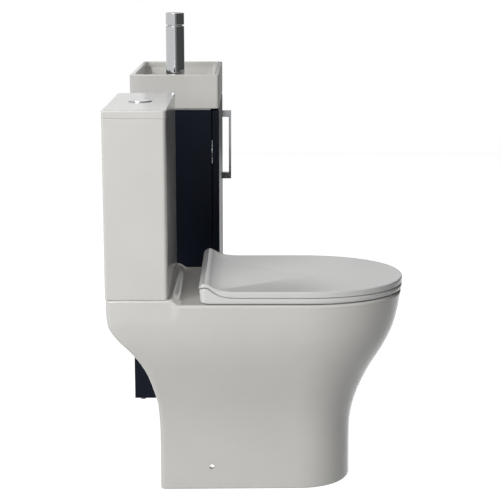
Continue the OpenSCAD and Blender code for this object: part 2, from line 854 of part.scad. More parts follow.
module cistern_bolts() {
    head_z = tank_floor_z + rubber_t;
    color("silver") at_toilet() both_sides(bolt_x) {
        post(bolt_r, [deck_h - deck_t - nut_h - bolt_past_nut, head_z], [0, valve_y]);
        post(bolt_head_r, [head_z, head_z + bolt_head_h], [0, valve_y]);
    }
}

module bolt_washers() {
    color("dimgray") at_toilet() both_sides(bolt_x)
        ring(bolt_head_r + 2, bolt_r + snug, [tank_floor_z, tank_floor_z + rubber_t], [0, valve_y]);
}

module wing_nuts() {
    top = deck_h - deck_t;
    wing_y = [valve_y - 2, valve_y + 2];
    color("silver") at_toilet() both_sides(bolt_x) difference() {
        union() {
            post(bolt_head_r, [top - nut_h, top], [0, valve_y]);
            block([-18, 18], wing_y, [top - nut_h, top - 2]);
        }
        post(bolt_r + snug, [top - nut_h - overcut, top + overcut], [0, valve_y]);
    }
}

// Seat and lid: both rise at the back, over the hinges
seat_w = deck_w - 2 * seat_in;
seat_nose = total_d;
seat_back = pivot_y - 11;
// Shares of the seat's straight sides, crowded over the hinges
seat_sides = [0.3, 0.6, 0.73, 0.8, 0.85, 0.89, 0.925, 0.96];
barrel_r = seat_z + seat_t + seat_rise - pivot_h;
// Heights of the seat's and the lid's rise as shares of it, by distance in front of the hinge pin
seat_keys = [
    [-14, 0.69], [-7, 0.93], [0, 1], [7, 0.93], [14, 0.69], [20, 0.48], [28, 0.265], [40, 0.11], [54, 0.025],
    [74, 0]
];
lip_keys = [
    [-12, 0.66], [-8, 0.89], [-4, 0.99], [0, 1], [6, 0.85], [14, 0.56], [28, 0.2], [42, 0.06], [56, 0.01],
    [74, 0]
];
function past_pin(y) = min(max(y - pivot_y, -12), 74);
function seat_top(y) =
    y < pivot_y ? pivot_h + sqrt(barrel_r * barrel_r - past_pin(y) * past_pin(y)) :
    seat_z + seat_t + seat_rise * curve(seat_keys, past_pin(y));
function lid_top(y) = lid_z + lid_t + lip_rise * curve(lip_keys, past_pin(y));

function seat_plan(back, inset) =
    d_plan(
        seat_w / 2 - inset, seat_w / 2 - inset, back, seat_nose - inset, deck_bow - inset, 2.1, 12,
        seat_sides);
function hole_plan(grow) =
    let (
        back = bowl_back + 8 - grow,
        front = pan_reach - bowl_nose - 2 + grow
    )
    d_plan(
        hole_w / 2 + grow, hole_w / 2 + grow, back, front, (front - back) * 0.6, 2.05, 60,
        seat_sides);
function follow(plan, drop) = [for (p = plan) [p[0], p[1], seat_top(p[1]) - drop]];
function between(a, b, t) = [for (i = [0:len(a) - 1]) mix(a[i], b[i], t)];

// Places of the rubber buffers, near the hinges and near the nose
seat_buffers_at = [[seat_w / 2 - 28, pivot_y + 84], [75, seat_nose - 55]];
lid_buffers_at = [[seat_w / 2 - 28, pivot_y + 94], [85, seat_nose - 65]];
lid_buffer_in = 2;

hinge_slot = post_w / 2 + lid_knuckle_w + 4;
hinge_slot_y = [pivot_y - 20, pivot_y + 38];
pin_hold = 13;
seat_edge = 3;
seat_top_shares = [0.07, 0.14, 0.21, 0.28, 0.36, 0.46, 0.6, 0.8];

module seat_ring() {
    rim = seat_plan(seat_back + 4, seat_edge);
    mouth = hole_plan(4);
    rings = [
        raise(seat_plan(seat_back + 11, seat_edge), seat_z),
        raise(seat_plan(seat_back + 5, 0.8), seat_z + 2),
        raise(seat_plan(seat_back + 2, 0), seat_z + 5),
        follow(seat_plan(seat_back, 0), 4),
        follow(seat_plan(seat_back + 1, 0.6), 1.8),
        follow(rim, 0),
        for (t = seat_top_shares) follow(between(rim, mouth, t), 0),
        follow(mouth, 0),
        follow(hole_plan(0), 3),
        raise(hole_plan(0), seat_z + 4),
        raise(mouth, seat_z)
    ];
    color(china) at_toilet() difference() {
        skin(rings, loop = true);
        both_sides(hinge_pitch / 2) {
            block([-hinge_slot, hinge_slot], hinge_slot_y, [seat_z - overcut, lid_z + lid_t + lip_rise]);
            rod_x_way(
                pin_r + pin_fit, [-hinge_slot - pin_hold - overcut, hinge_slot + pin_hold + overcut],
                pivot_y, pivot_h);
        }
        for (at = seat_buffers_at)
            both_sides(at[0]) post(buffer_r + snug, [seat_z - overcut, seat_z + buffer_in], [0, at[1]]);
    }
}

// Lid: rings that shrink towards the middle, so a share of 1 is the rim
lid_centre_y = 400;
lid_shares = [0.985, 0.965, 0.945, 0.92, 0.895, 0.87, 0.845, 0.82, 0.78, 0.72, 0.6, 0.4];
lid_hollow_shares = [0.4, 0.55, 0.66, 0.74, 0.8, 0.84, 0.875, 0.905, 0.93];
lid_plan_rim = seat_plan(pivot_y - 12, 0);
function lid_plan(share) = [
    for (p = lid_plan_rim) [p[0] * share, lid_centre_y + (p[1] - lid_centre_y) * share]
];
lid_middle = on_rays(lid_plan_rim, lid_centre_y, 24);
// Shallow dish over the lid's whole width, which dies out towards the lip and the nose
function dish(share, y) =
    lid_dish * (1 - pow(min(share / 0.975, 1), 2)) * ease((seat_nose - 20 - y) / 260)
    * ease((y - pivot_y - 8) / 50);
function lid_upper(share) = [for (p = lid_plan(share)) [p[0], p[1], lid_top(p[1]) - dish(share, p[1])]];
// The lid's underside stands a little further off the seat over the hinges
function lid_under(y) = seat_top(y) + lid_gap + 0.7 * (1 - ease((y - pivot_y - 14) / 20));
function lid_lower(share, lift) = [for (p = lid_plan(share)) [p[0], p[1], lid_under(p[1]) + lift]];
function lid_inside(share) = [
    for (p = lid_plan(share))
        [p[0], p[1], lid_under(p[1]) + lid_hollow * ease((p[1] - pivot_y - 8) / 40)]
];

// Height of the lid's outer edge between its lower and its upper round
function lid_rim_t(y) = lid_top(y) - lid_under(y) - 1.5;

module lid_knuckles() {
    both_sides(hinge_pitch / 2) both_sides(post_w / 2 + 1 + lid_knuckle_w / 2)
        translate([-lid_knuckle_w / 2, 0, 0]) {
            rod_x_way(knuckle_r, [0, lid_knuckle_w], pivot_y, pivot_h);
            block(
                [0, lid_knuckle_w], [pivot_y - 6, pivot_y + 6],
                [pivot_h, seat_top(pivot_y) + lid_gap + 2]);
        }
}

module seat_lid() {
    rings = [
        raise(lid_middle, lid_z + lid_hollow),
        for (share = lid_hollow_shares) lid_inside(share),
        lid_lower(0.95, 0),
        lid_lower(0.967, 0),
        lid_lower(0.985, 0),
        lid_lower(1, 1.5),
        [for (p = lid_plan(1)) [p[0], p[1], lid_top(p[1]) - min(3, lid_rim_t(p[1]) / 2)]],
        for (share = lid_shares) lid_upper(share),
        raise(lid_middle, lid_top(lid_centre_y) - dish(0, lid_centre_y))
    ];
    color(china) at_toilet() difference() {
        union() {
            skin(rings);
            lid_knuckles();
        }
        both_sides(hinge_pitch / 2)
            rod_x_way(pin_r + pin_fit, [-hinge_slot, hinge_slot], pivot_y, pivot_h);
        for (at = lid_buffers_at)
            both_sides(at[0])
            post(buffer_r + snug, [lid_z - 2 * overcut, lid_z + lid_hollow + lid_buffer_in], [0, at[1]]);
    }
}

hinge_bolt_r = 3;
hinge_bolt_in = 6;
hinge_nut_h = 12;
hinge_bolt_past_nut = 10;

module hinge_posts() {
    color("silver") at_toilet() both_sides(hinge_pitch / 2) difference() {
        union() {
            post(hinge_hole_r + 8, [deck_h, deck_h + 3], [0, hinge_y]);
            block([-post_w / 2, post_w / 2], [pivot_y - 4, hinge_y + 6], [deck_h + 2, pivot_h]);
            rod_x_way(knuckle_r, [-post_w / 2, post_w / 2], pivot_y, pivot_h);
        }
        rod_x_way(pin_r + pin_fit, [-post_w, post_w], pivot_y, pivot_h);
        post(hinge_bolt_r + snug, [deck_h - overcut, deck_h + hinge_bolt_in], [0, hinge_y]);
    }
}

module hinge_pins() {
    reach = hinge_slot + pin_hold;
    color("silver") at_toilet() both_sides(hinge_pitch / 2)
        rod_x_way(pin_r, [-reach, reach], pivot_y, pivot_h);
}

module hinge_bolts() {
    foot_z = deck_h - deck_t - hinge_nut_h - hinge_bolt_past_nut;
    color("silver") at_toilet() both_sides(hinge_pitch / 2)
        post(hinge_bolt_r, [foot_z, deck_h + hinge_bolt_in], [0, hinge_y]);
}

module hinge_nuts() {
    top = deck_h - deck_t;
    color("white") at_toilet() both_sides(hinge_pitch / 2)
        ring(hinge_hole_r + 4, hinge_bolt_r + snug, [top - hinge_nut_h, top], [0, hinge_y]);
}

module seat_buffers() {
    color("lightgray") at_toilet() for (at = seat_buffers_at)
        both_sides(at[0]) post(buffer_r, [deck_h + thin_gap, seat_z + buffer_in], [0, at[1]]);
}

module lid_buffers() {
    z = [lid_z - lid_gap + thin_gap, lid_z + lid_hollow + lid_buffer_in];
    color("lightgray") at_toilet() for (at = lid_buffers_at) both_sides(at[0]) post(buffer_r, z, [0, at[1]]);
}

// Cabinet
base_top_z = plinth_h + board_t;
shelf_pin_r = 2.5;
shelf_pin_in = 9;
shelf_pin_out = 10;
shelf_clear = 1;
shelf_back = service_gap + back_t + 4;
shelf_front = board_d - 24;
shelf_pins_y = [shelf_back + 24, shelf_front - 24];

module side_board(side) {
    x = side > 0 ? [inner_w / 2, vanity_w / 2] : [-vanity_w / 2, -inner_w / 2];
    hole = side > 0 ? [x[0] - overcut, x[0] + shelf_pin_in] : [x[1] - shelf_pin_in, x[1] + overcut];
    color(navy) at_vanity() difference() {
        block(x, [0, board_d], [glide_h, cabinet_h]);
        for (y = shelf_pins_y)
            rod_x_way(shelf_pin_r, hole, y, shelf_z - shelf_pin_r);
    }
}

module cabinet_side_left() {
    side_board(1);
}

module cabinet_side_right() {
    side_board(-1);
}

module cabinet_base() {
    color(navy) at_vanity()
        block([-inner_w / 2, inner_w / 2], [service_gap + back_t, board_d], [plinth_h, base_top_z]);
}

module cabinet_plinth() {
    front = board_d - plinth_in;
    color(navy) at_vanity()
        block([-inner_w / 2, inner_w / 2], [front - board_t, front], [0, plinth_h]);
}

pipe_gap = [200, 60];
module cabinet_back() {
    top = cabinet_h - wall_rail_h;
    color(navy) at_vanity() difference() {
        block([-inner_w / 2, inner_w / 2], [service_gap, service_gap + back_t], [plinth_h, top]);
        block([-pipe_gap[0] / 2, pipe_gap[0] / 2], [0, vanity_d], [outlet_z - pipe_gap[1], top + overcut]);
    }
}

front_rail_h = 22;
module cabinet_rails() {
    x = [-inner_w / 2, inner_w / 2];
    color(navy) at_vanity() {
        difference() {
            block(x, [0, service_gap + back_t], [cabinet_h - wall_rail_h, cabinet_h]);
            both_sides(wall_hole_pitch / 2)
                rod_y_way(wall_hole_r, 0, [-overcut, board_d], cabinet_h - wall_rail_h / 2);
        }
        block(x, [board_d - board_t, board_d], [cabinet_h - front_rail_h, cabinet_h]);
    }
}

module cabinet_shelf() {
    hw = inner_w / 2 - shelf_clear;
    color(navy) at_vanity()
        block([-hw, hw], [shelf_back, shelf_front], [shelf_z, shelf_z + board_t]);
}

module shelf_pins() {
    x = [inner_w / 2 - shelf_pin_out, inner_w / 2 + shelf_pin_in];
    color("silver") at_vanity() for (y = shelf_pins_y) {
        rod_x_way(shelf_pin_r, x, y, shelf_z - shelf_pin_r);
        rod_x_way(shelf_pin_r, [-x[1], -x[0]], y, shelf_z - shelf_pin_r);
    }
}

module glides() {
    color("dimgray") at_vanity()
        for (side = [-1, 1], y = [20, board_d - 20])
            post(glide_r, [0, glide_h], [side * (vanity_w - board_t) / 2, y]);
}

// Door, hung at the toilet side
door_x = [door_reveal - vanity_w / 2, vanity_w / 2 - door_reveal];
door_back_y = board_d + door_gap;
door_z = [plinth_h + door_reveal, cabinet_h - door_reveal];
hinge_z = [door_z[0] + hinge_end, door_z[1] - hinge_end];
cup_x = door_x[1] - cup_edge;
handle_x = door_x[0] + handle_edge;
handle_feet = [handle_z + handle_foot / 2, handle_z + handle_h - handle_foot / 2];
screw_len = 12;

module door() {
    color(navy) at_vanity() difference() {
        block(door_x, [door_back_y, vanity_d], door_z);
        for (z = hinge_z)
            rod_y_way(cup_r + snug, cup_x, [door_back_y - overcut, door_back_y + cup_depth], z);
        for (z = handle_feet)
            rod_y_way(handle_screw_r + snug, handle_x, [door_back_y - overcut, vanity_d + overcut], z);
    }
}

module door_handle() {
    hw = handle_w / 2;
    color("silver") at_vanity() difference() {
        block(
            [handle_x - hw, handle_x + hw], [vanity_d, vanity_d + handle_out],
            [handle_z, handle_z + handle_h]);
        block(
            [handle_x - hw - overcut, handle_x + hw + overcut],
            [vanity_d - overcut, vanity_d + handle_out - grip_t],
            [handle_z + handle_foot, handle_z + handle_h - handle_foot]);
        for (z = handle_feet)
            rod_y_way(handle_screw_r + snug, handle_x, [vanity_d - overcut, vanity_d + screw_len + 1], z);
    }
}

head_t = door_gap - 0.5;
module handle_screws() {
    color("silver") at_vanity() for (z = handle_feet) {
        rod_y_way(handle_screw_r, handle_x, [door_back_y - head_t, vanity_d + screw_len], z);
        rod_y_way(handle_screw_r + 2, handle_x, [door_back_y - head_t, door_back_y], z);
    }
}

// Concealed hinges: cup let into the door, arm and plate on the side board
cup_t = 1.5;
cup_ear = [14, 12, 28];
plate = [3, 48, 22];
plate_in = 12;
arm = [10, 8];

module hinge_cups() {
    color("silver") at_vanity() for (z = hinge_z) difference() {
        union() {
            rod_y_way(cup_r, cup_x, [door_back_y - head_t, door_back_y + cup_depth], z);
            block(
                [cup_x - cup_ear[0], cup_x + cup_ear[1]], [door_back_y - head_t, door_back_y],
                [z - cup_ear[2], z + cup_ear[2]]);
        }
        rod_y_way(cup_r - cup_t, cup_x, [door_back_y - 2 * head_t, door_back_y + cup_depth - cup_t], z);
    }
}

module hinge_arms() {
    x = inner_w / 2;
    front = board_d - plate_in;
    color("silver") at_vanity() for (z = hinge_z) {
        block([x - plate[0], x], [front - plate[1], front], [z - plate[2], z + plate[2]]);
        block(
            [x - plate[0] - arm[0], x - plate[0] + snug], [board_d - 56, door_back_y + 3],
            [z - arm[1], z + arm[1]]);
    }
}

bumper_in = [8, 30];
module door_bumpers() {
    color("lightgray") at_vanity()
        for (z = [door_z[0] + bumper_in[1], door_z[1] - bumper_in[1]])
            rod_y_way(4, door_x[0] + bumper_in[0], [board_d + thin_gap, door_back_y], z);
}

// Basin
basin_hw = vanity_w / 2;
ledge_x = basin_hw - rim_t - ledge_w;
bowl_floor_z = basin_z + basin_floor_t;
pocket_r = 28;
tap_deck_t = 14;

function bowl_plan_v(inset, z) =
    let (x0 = -basin_hw + rim_t + inset, x1 = ledge_x - inset)
    [
        for (p = round_plan((x1 - x0) / 2, rim_t + inset, vanity_d - rim_t - inset, 12, 12, 5))
            [p[0] + (x0 + x1) / 2, p[1], z]
    ];

module basin() {
    color(china) at_vanity() difference() {
        union() {
            translate([0, 0, basin_z]) linear_extrude(basin_h)
                polygon(round_plan(basin_hw, 0, vanity_d, basin_corner_r, basin_corner_r));
            translate([0, 0, cabinet_h]) linear_extrude(basin_foot_h + overcut)
                polygon(round_plan(basin_hw - basin_foot_in, 0, board_d - 1, 2, 2));
        }
        translate([0, 0, ledge_z]) linear_extrude(basin_h)
            polygon(round_plan(basin_hw - rim_t, rim_t, vanity_d - rim_t, 8, 8));
        skin([
            bowl_plan_v(bowl_draft, bowl_floor_z),
            bowl_plan_v(bowl_draft * 0.55, bowl_floor_z + 4),
            bowl_plan_v(bowl_draft * 0.35, bowl_floor_z + 12),
            bowl_plan_v(0, ledge_z + overcut)
        ]);
        post(pocket_r, [cabinet_h - overcut, ledge_z - tap_deck_t], [tap_x, basin_y]);
        post(tap_hole_r, [ledge_z - tap_deck_t - overcut, ledge_z + overcut], [tap_x, basin_y]);
        post(waste_hole_r, [cabinet_h - overcut, bowl_floor_z + overcut], [waste_x, basin_y]);
    }
}

// Tap, with the spout and the lever pin over the bowl
gasket_t = 2;
tap_foot_z = ledge_z + gasket_t;
tap_body_z = tap_foot_z + tap_body_h;
head_z = tap_body_z + head_gap;
tap_at = [tap_x, basin_y];
cartridge_in = 32;
stud_x = tap_x + 9;
stud_r = 3;
stud_in = 14;
stud_len = 62;
spout_bore_r = 7;
spout_drop = 5;
aerator_r = 10.5;
aerator_h = 8;
aerator_in = 3;
outlet_x = tap_x - spout_reach + spout_r;
tail_hole_r = 5;
tail_hole_in = 16;
tail_pitch = 16;

module tap_body() {
    spout_h = tap_foot_z + spout_z;
    mouth_z = spout_h - spout_r;
    color("silver") at_vanity() difference() {
        union() {
            post(tap_r, [tap_foot_z, tap_body_z], tap_at);
            rod_x_way(spout_r, [tap_x - spout_reach, tap_x], basin_y, spout_h);
            post(aerator_r + 2, [mouth_z - spout_drop, spout_h], [outlet_x, basin_y]);
        }
        rod_x_way(spout_bore_r, [outlet_x - 2, tap_x], basin_y, spout_h);
        post(aerator_r + snug, [mouth_z - spout_drop - overcut, mouth_z + aerator_in], [outlet_x, basin_y]);
        post(spout_bore_r - 1, [mouth_z, spout_h], [outlet_x, basin_y]);
        post(cartridge_r + snug, [tap_body_z - cartridge_in, tap_body_z + overcut], tap_at);
        post(spout_bore_r + 2, [spout_h - 4, tap_body_z - cartridge_in + overcut], tap_at);
        post(stud_r + snug, [tap_foot_z - overcut, tap_foot_z + stud_in], [stud_x, basin_y]);
        for (y = [basin_y - tail_pitch / 2, basin_y + tail_pitch / 2])
            post(tail_hole_r, [tap_foot_z - overcut, tap_foot_z + tail_hole_in], [tap_x - 5, y]);
    }
}

stem_in = 14;
module tap_cartridge() {
    color("dimgray") at_vanity() difference() {
        post(cartridge_r, [tap_body_z - cartridge_in, tap_body_z], tap_at);
        post(stem_r + thin_gap, [tap_body_z - stem_in, tap_body_z + overcut], tap_at);
    }
}

// The stem turns with the head and carries the pin that the head lifts on
lift_x = tap_x + tap_r - 5;
lift_z = head_z + 6;
lift_pin_r = 2;
lift_pin_hw = 8;
lug_x = [lift_x - 3, lift_x + 0.8];
lug_hw = 4;
stem_plate_r = tap_r - 4;
stem_plate_z = [tap_body_z + 0.5, tap_body_z + 2.2];

module tap_stem() {
    color("silver") at_vanity() {
        post(stem_r, [tap_body_z - stem_in + thin_gap, stem_plate_z[0] + 1], tap_at);
        post(stem_plate_r, stem_plate_z, tap_at);
        block(lug_x, [basin_y - lug_hw, basin_y + lug_hw], [stem_plate_z[0] + 0.5, lift_z]);
        rod_y_way(lift_pin_r, lift_x, [basin_y - lift_pin_hw, basin_y + lift_pin_hw], lift_z);
    }
}

lug_slot_x = [lug_x[0] - 3.5, lug_x[1] + 2.4];
lug_slot_hw = lug_hw + 0.5;
lift_fit = 0.05;
module tap_head() {
    bore_hw = lift_pin_hw + 0.5;
    color("silver") at_vanity() difference() {
        union() {
            post(tap_r, [head_z, tap_body_z + head_h], tap_at);
            rod_x_way(lever_r, [tap_x - tap_r - lever_len, tap_x], basin_y, head_z + 12);
        }
        block(lug_slot_x, [basin_y - lug_slot_hw, basin_y + lug_slot_hw], [head_z - overcut, lift_z + 6]);
        rod_y_way(lift_pin_r + lift_fit, lift_x, [basin_y - bore_hw, basin_y + bore_hw], lift_z);
    }
}

module tap_aerator() {
    top = tap_foot_z + spout_z - spout_r + aerator_in;
    color("gray") at_vanity() ring(aerator_r, 6, [top - aerator_h, top], [outlet_x, basin_y]);
}

module tap_stud() {
    top = tap_foot_z + stud_in;
    color("silver") at_vanity() post(stud_r, [top - stud_len, top], [stud_x, basin_y]);
}

// Horseshoe plate and nut under the basin
plate_under_t = 3;
stud_nut = [6, 10];
module tap_nut() {
    top = ledge_z - tap_deck_t;
    foot = top - plate_under_t - stud_nut[1];
    color("silver") at_vanity() difference() {
        union() {
            post(pocket_r - 3, [top - plate_under_t, top], tap_at);
            post(stud_nut[0], [foot, top - 1], [stud_x, basin_y]);
        }
        post(12, [top - plate_under_t - overcut, top + overcut], [tap_x - 12, basin_y]);
        post(stud_r + snug, [foot - overcut, top + overcut], [stud_x, basin_y]);
    }
}

// Basin waste and bottle trap
waste_at = [waste_x, basin_y];
flange_t = 2.5;
waste_foot_z = bowl_floor_z - 78;
waste_tube_t = 2;
guide_z = bowl_floor_z - 40;
guide_w = 6;
guide_r = 7;
guide_h = 12;
plug_t = 4;
plug_z = bowl_floor_z + flange_t;
plug_stem_r = 4;
plug_foot_z = guide_z - plug_travel - 10;
trap_in = 8;
trap_top_z = waste_foot_z + trap_in;
trap_floor_z = trap_top_z - trap_body_h;
outlet_z = trap_floor_z + outlet_up;
trap_t = 3;
trap_neck_h = 14;
trap_boss = [outlet_r + 5, 14];
pipe_in = 2;
pipe_end_r = outlet_r - 1;

module basin_waste() {
    half = guide_w / 2;
    tube = waste_tube_r - waste_tube_t;
    color("silver") at_vanity() difference() {
        union() {
            post(waste_flange_r, [bowl_floor_z, plug_z], waste_at);
            post(waste_tube_r, [waste_foot_z, plug_z], waste_at);
        }
        difference() {
            post(tube, [waste_foot_z - overcut, plug_z + overcut], waste_at);
            block(
                [waste_x - waste_tube_r, waste_x + waste_tube_r], [basin_y - half, basin_y + half],
                [guide_z, guide_z + guide_w]);
            post(guide_r, [guide_z, guide_z + guide_h], waste_at);
        }
        post(plug_stem_r + thin_gap, [guide_z - overcut, guide_z + guide_h + overcut], waste_at);
    }
}

module waste_plug() {
    color("silver") at_vanity() {
        post(plug_r, [plug_z, plug_z + plug_t], waste_at);
        post(plug_stem_r, [plug_foot_z, plug_z + 1], waste_at);
    }
}

washer_t = 4;
waste_nut_h = 10;
module basin_washers() {
    color("dimgray") at_vanity() {
        ring(waste_hole_r + 6, waste_tube_r + snug, [cabinet_h - washer_t, cabinet_h], waste_at);
        ring(tap_r - 0.5, 14, [ledge_z, tap_foot_z], tap_at);
    }
}

module waste_nut() {
    top = cabinet_h - washer_t;
    color("silver") at_vanity()
        ring(waste_hole_r + 5, waste_tube_r + snug, [top - waste_nut_h, top], waste_at);
}

module trap_body() {
    boss_y = basin_y - trap_body_r - trap_boss[1];
    color("white") at_vanity() difference() {
        union() {
            post(trap_body_r, [trap_floor_z, trap_top_z], waste_at);
            rod_y_way(trap_boss[0], waste_x, [boss_y, basin_y], outlet_z);
        }
        post(trap_body_r - trap_t, [trap_floor_z - overcut, trap_top_z - trap_neck_h], waste_at);
        post(waste_tube_r + snug, [trap_top_z - trap_neck_h - 2, trap_top_z + overcut], waste_at);
        rod_y_way(pipe_end_r + snug, waste_x, [boss_y - overcut, basin_y - trap_body_r - pipe_in], outlet_z);
        rod_y_way(outlet_r - trap_t, waste_x, [boss_y - overcut, basin_y], outlet_z);
    }
}

module trap_cup() {
    foot_z = trap_floor_z - trap_cup_h;
    color("white") at_vanity() difference() {
        post(trap_body_r + trap_t, [foot_z, trap_floor_z - snug], waste_at);
        post(trap_body_r - trap_t, [foot_z + 4, trap_floor_z + overcut], waste_at);
    }
}

module trap_pipe() {
    boss_y = basin_y - trap_body_r - trap_boss[1];
    color("white") at_vanity() difference() {
        union() {
            rod_y_way(outlet_r, waste_x, [2, boss_y - 4], outlet_z);
            rod_y_way(pipe_end_r, waste_x, [2 + overcut, basin_y - trap_body_r - pipe_in - snug], outlet_z);
        }
        rod_y_way(outlet_r - 2, waste_x, [0, basin_y], outlet_z);
    }
}

pan_skirt();
pan_deck();
pan_bowl();
pan_waterways();
cistern_tank();
cistern_lid();
button_bezel();
bezel_nut();
full_flush_button();
half_flush_button();
full_flush_rod();
half_flush_rod();
flush_valve_body();
flush_valve_piston();
flush_valve_seal();
valve_nuts();
coupling_washer();
fill_valve_body();
fill_valve_float();
cistern_bolts();
bolt_washers();
wing_nuts();
seat_ring();
seat_lid();
hinge_posts();
hinge_pins();
hinge_bolts();
hinge_nuts();
seat_buffers();
lid_buffers();
cabinet_side_left();
cabinet_side_right();
cabinet_base();
cabinet_plinth();
cabinet_back();
cabinet_rails();
cabinet_shelf();
shelf_pins();
glides();
door();
door_handle();
handle_screws();
hinge_cups();
hinge_arms();
door_bumpers();
basin();
basin_waste();
waste_plug();
basin_washers();
waste_nut();
trap_body();
trap_cup();
trap_pipe();
tap_body();
tap_cartridge();
tap_stem();
tap_head();
tap_aerator();
tap_stud();
tap_nut();
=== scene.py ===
"""Close-coupled toilet and slim vanity unit: the looks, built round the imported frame.

Each half is worked out in its own plan, in millimetres: x to the left of someone facing the wall, y out
from the wall and z up. shape() turns that into the frame's metres.
"""
import math

import bpy
import numpy as np
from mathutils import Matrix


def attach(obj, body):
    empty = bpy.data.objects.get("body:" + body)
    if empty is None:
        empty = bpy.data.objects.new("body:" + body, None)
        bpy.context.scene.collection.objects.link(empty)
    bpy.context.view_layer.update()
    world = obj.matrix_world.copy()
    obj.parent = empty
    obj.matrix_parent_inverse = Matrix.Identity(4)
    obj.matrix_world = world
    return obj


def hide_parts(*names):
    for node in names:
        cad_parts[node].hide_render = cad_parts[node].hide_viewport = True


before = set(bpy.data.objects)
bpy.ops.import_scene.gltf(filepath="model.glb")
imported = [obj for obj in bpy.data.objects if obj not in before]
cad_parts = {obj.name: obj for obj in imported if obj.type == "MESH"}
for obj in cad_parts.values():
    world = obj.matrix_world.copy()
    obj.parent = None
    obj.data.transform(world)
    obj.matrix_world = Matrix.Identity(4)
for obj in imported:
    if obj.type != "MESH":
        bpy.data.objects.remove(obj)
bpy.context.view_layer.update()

# --- Pan -------------------------------------------------------------------------------------------
# Vitreous china, slip cast in one piece with its skirt, bowl and trapway, then glazed white and fired.
# It stands on the floor and is screwed down through the hole in each side.
TOILET_X = -363.25
VANITY_X = 328.25
WALL_Y = 300.0


def linear(code):
    """sRGB hex as linear RGBA: a channel over 12.92 up to 0.04045, else ((c + 0.055) / 1.055) to the 2.4."""
    c = np.array([int(code[i:i + 2], 16) / 255 for i in (1, 3, 5)])
    return (*np.where(c <= 0.04045, c / 12.92, ((c + 0.055) / 1.055) ** 2.4), 1.0)


def add(tree, kind, options={}, **inputs):
    """Adds one shader node. options are its own settings; inputs are its sockets, a value or a link."""
    made = tree.nodes.new("ShaderNode" + kind)
    for key, value in options.items():
        setattr(made, key, value)
    for key, value in inputs.items():
        socket = made.inputs[int(key[1:])] if key[1:].isdigit() else made.inputs[key.replace("_", " ")]
        if isinstance(value, bpy.types.NodeSocket):
            tree.links.new(value, socket)
        else:
            socket.default_value = value
    return made


def finish_named(name):
    """An empty material, its node tree and the place of every point on the object, in metres."""
    made = bpy.data.materials.new(name)
    made.use_nodes = True
    made.node_tree.nodes.clear()
    return made, made.node_tree, add(made.node_tree, "TexCoord").outputs["Object"]


def noise(tree, place, size_mm, detail=2.0):
    """A noise from 0 to 1 whose patches are about size_mm across."""
    return add(tree, "TexNoise", Vector=place, Scale=1000 / size_mm, Detail=detail).outputs["Fac"]


def blend(tree, share, first, second):
    """The colour at a share of the way from one hex colour to another."""
    return add(tree, "Mix", {"data_type": "RGBA"}, i0=share, i6=linear(first), i7=linear(second)).outputs[2]


def spread(tree, share, low, high):
    """A value at a share of the way from low to high."""
    return add(tree, "MapRange", Value=share, To_Min=low, To_Max=high).outputs["Result"]


def surfaced(tree, height, strength, depth_mm, **look):
    """Ends a material's tree: a principled surface with the given look, and a bump of the given depth."""
    bump = add(tree, "Bump", Height=height, Strength=strength, Distance=depth_mm / 1000)
    face = add(tree, "BsdfPrincipled", Normal=bump.outputs["Normal"], **look)
    add(tree, "OutputMaterial", Surface=face.outputs["BSDF"])


def glaze(name, pale, deep, rough):
    """Glassy skin: two close whites that drift over 90 mm, and a ripple about 12 mm long in the gloss."""
    made, tree, place = finish_named(name)
    drift = noise(tree, place, 90)
    surfaced(
        tree, noise(tree, place, 12, 1.0), 0.12, 0.4, Base_Color=blend(tree, drift, pale, deep),
        Roughness=spread(tree, drift, rough * 0.8, rough * 1.25), IOR=1.5)
    return made


# Warm white glaze over a pale body, a soft wave left in its gloss by the firing
china = glaze("Glazed_vitreous_china", "#D9D8D4", "#D2D0CB", 0.12)


def keyed(keys, t):
    """Smooth curve through keys: cubics whose slope at a key is the rise over run of its two neighbours."""
    x, y = np.array(keys, float).T
    t = np.clip(np.asarray(t, float), x[0], x[-1])
    i = np.clip(np.searchsorted(x, t) - 1, 0, len(x) - 2)
    before, after = np.maximum(i - 1, 0), np.minimum(i + 2, len(x) - 1)
    span = x[i + 1] - x[i]
    u = (t - x[i]) / span
    lead = (y[i + 1] - y[before]) / (x[i + 1] - x[before])
    trail = (y[after] - y[i]) / (x[after] - x[i])
    return (y[i] * (1 - u) ** 2 * (1 + 2 * u) + y[i + 1] * u ** 2 * (3 - 2 * u)
            + span * u * (1 - u) * ((1 - u) * lead - u * trail))


def ease(t):
    """Smooth step from 0 to 1: t squared times 3 less 2 t."""
    t = np.clip(t, 0, 1)
    return t * t * (3 - 2 * t)


def arc(start, end, count):
    """count angles in degrees from start to end, as their cosines and sines."""
    a = np.radians(np.linspace(start, end, count))
    return np.cos(a), np.sin(a)


def nosed(back_hw, front_hw, back, front, bow, roundness, corner, sides):
    """Plan with a superellipse nose, straight sides at the shares in sides, and two round back corners."""
    start, cx, cy = front - bow, back_hw - corner, back + corner
    c, s = arc(0, 180, 97)
    power = 2 / roundness
    tip = np.stack([front_hw * np.sign(c) * abs(c) ** power, start + bow * abs(s) ** power], 1)
    left = np.stack([-(front_hw + (back_hw - front_hw) * sides), start + (cy - start) * sides], 1)
    c, s = arc(180, 270, 9)
    turn = np.stack([-cx + corner * c, cy + corner * s], 1)
    return np.concatenate([tip, left, turn, turn[::-1] * [-1, 1], left[::-1] * [-1, 1]])


def at_height(plan, z):
    """A plan outline lifted to z, one height or one for each of its points."""
    return np.column_stack([plan, np.broadcast_to(z, len(plan))])


def on_rays(plan, centre_y, r):
    """The circle of radius r whose points lie on the same rays from (0, centre_y) as the plan's."""
    a = np.arctan2(plan[:, 1] - centre_y, plan[:, 0])
    return np.stack([r * np.cos(a), centre_y + r * np.sin(a)], 1)


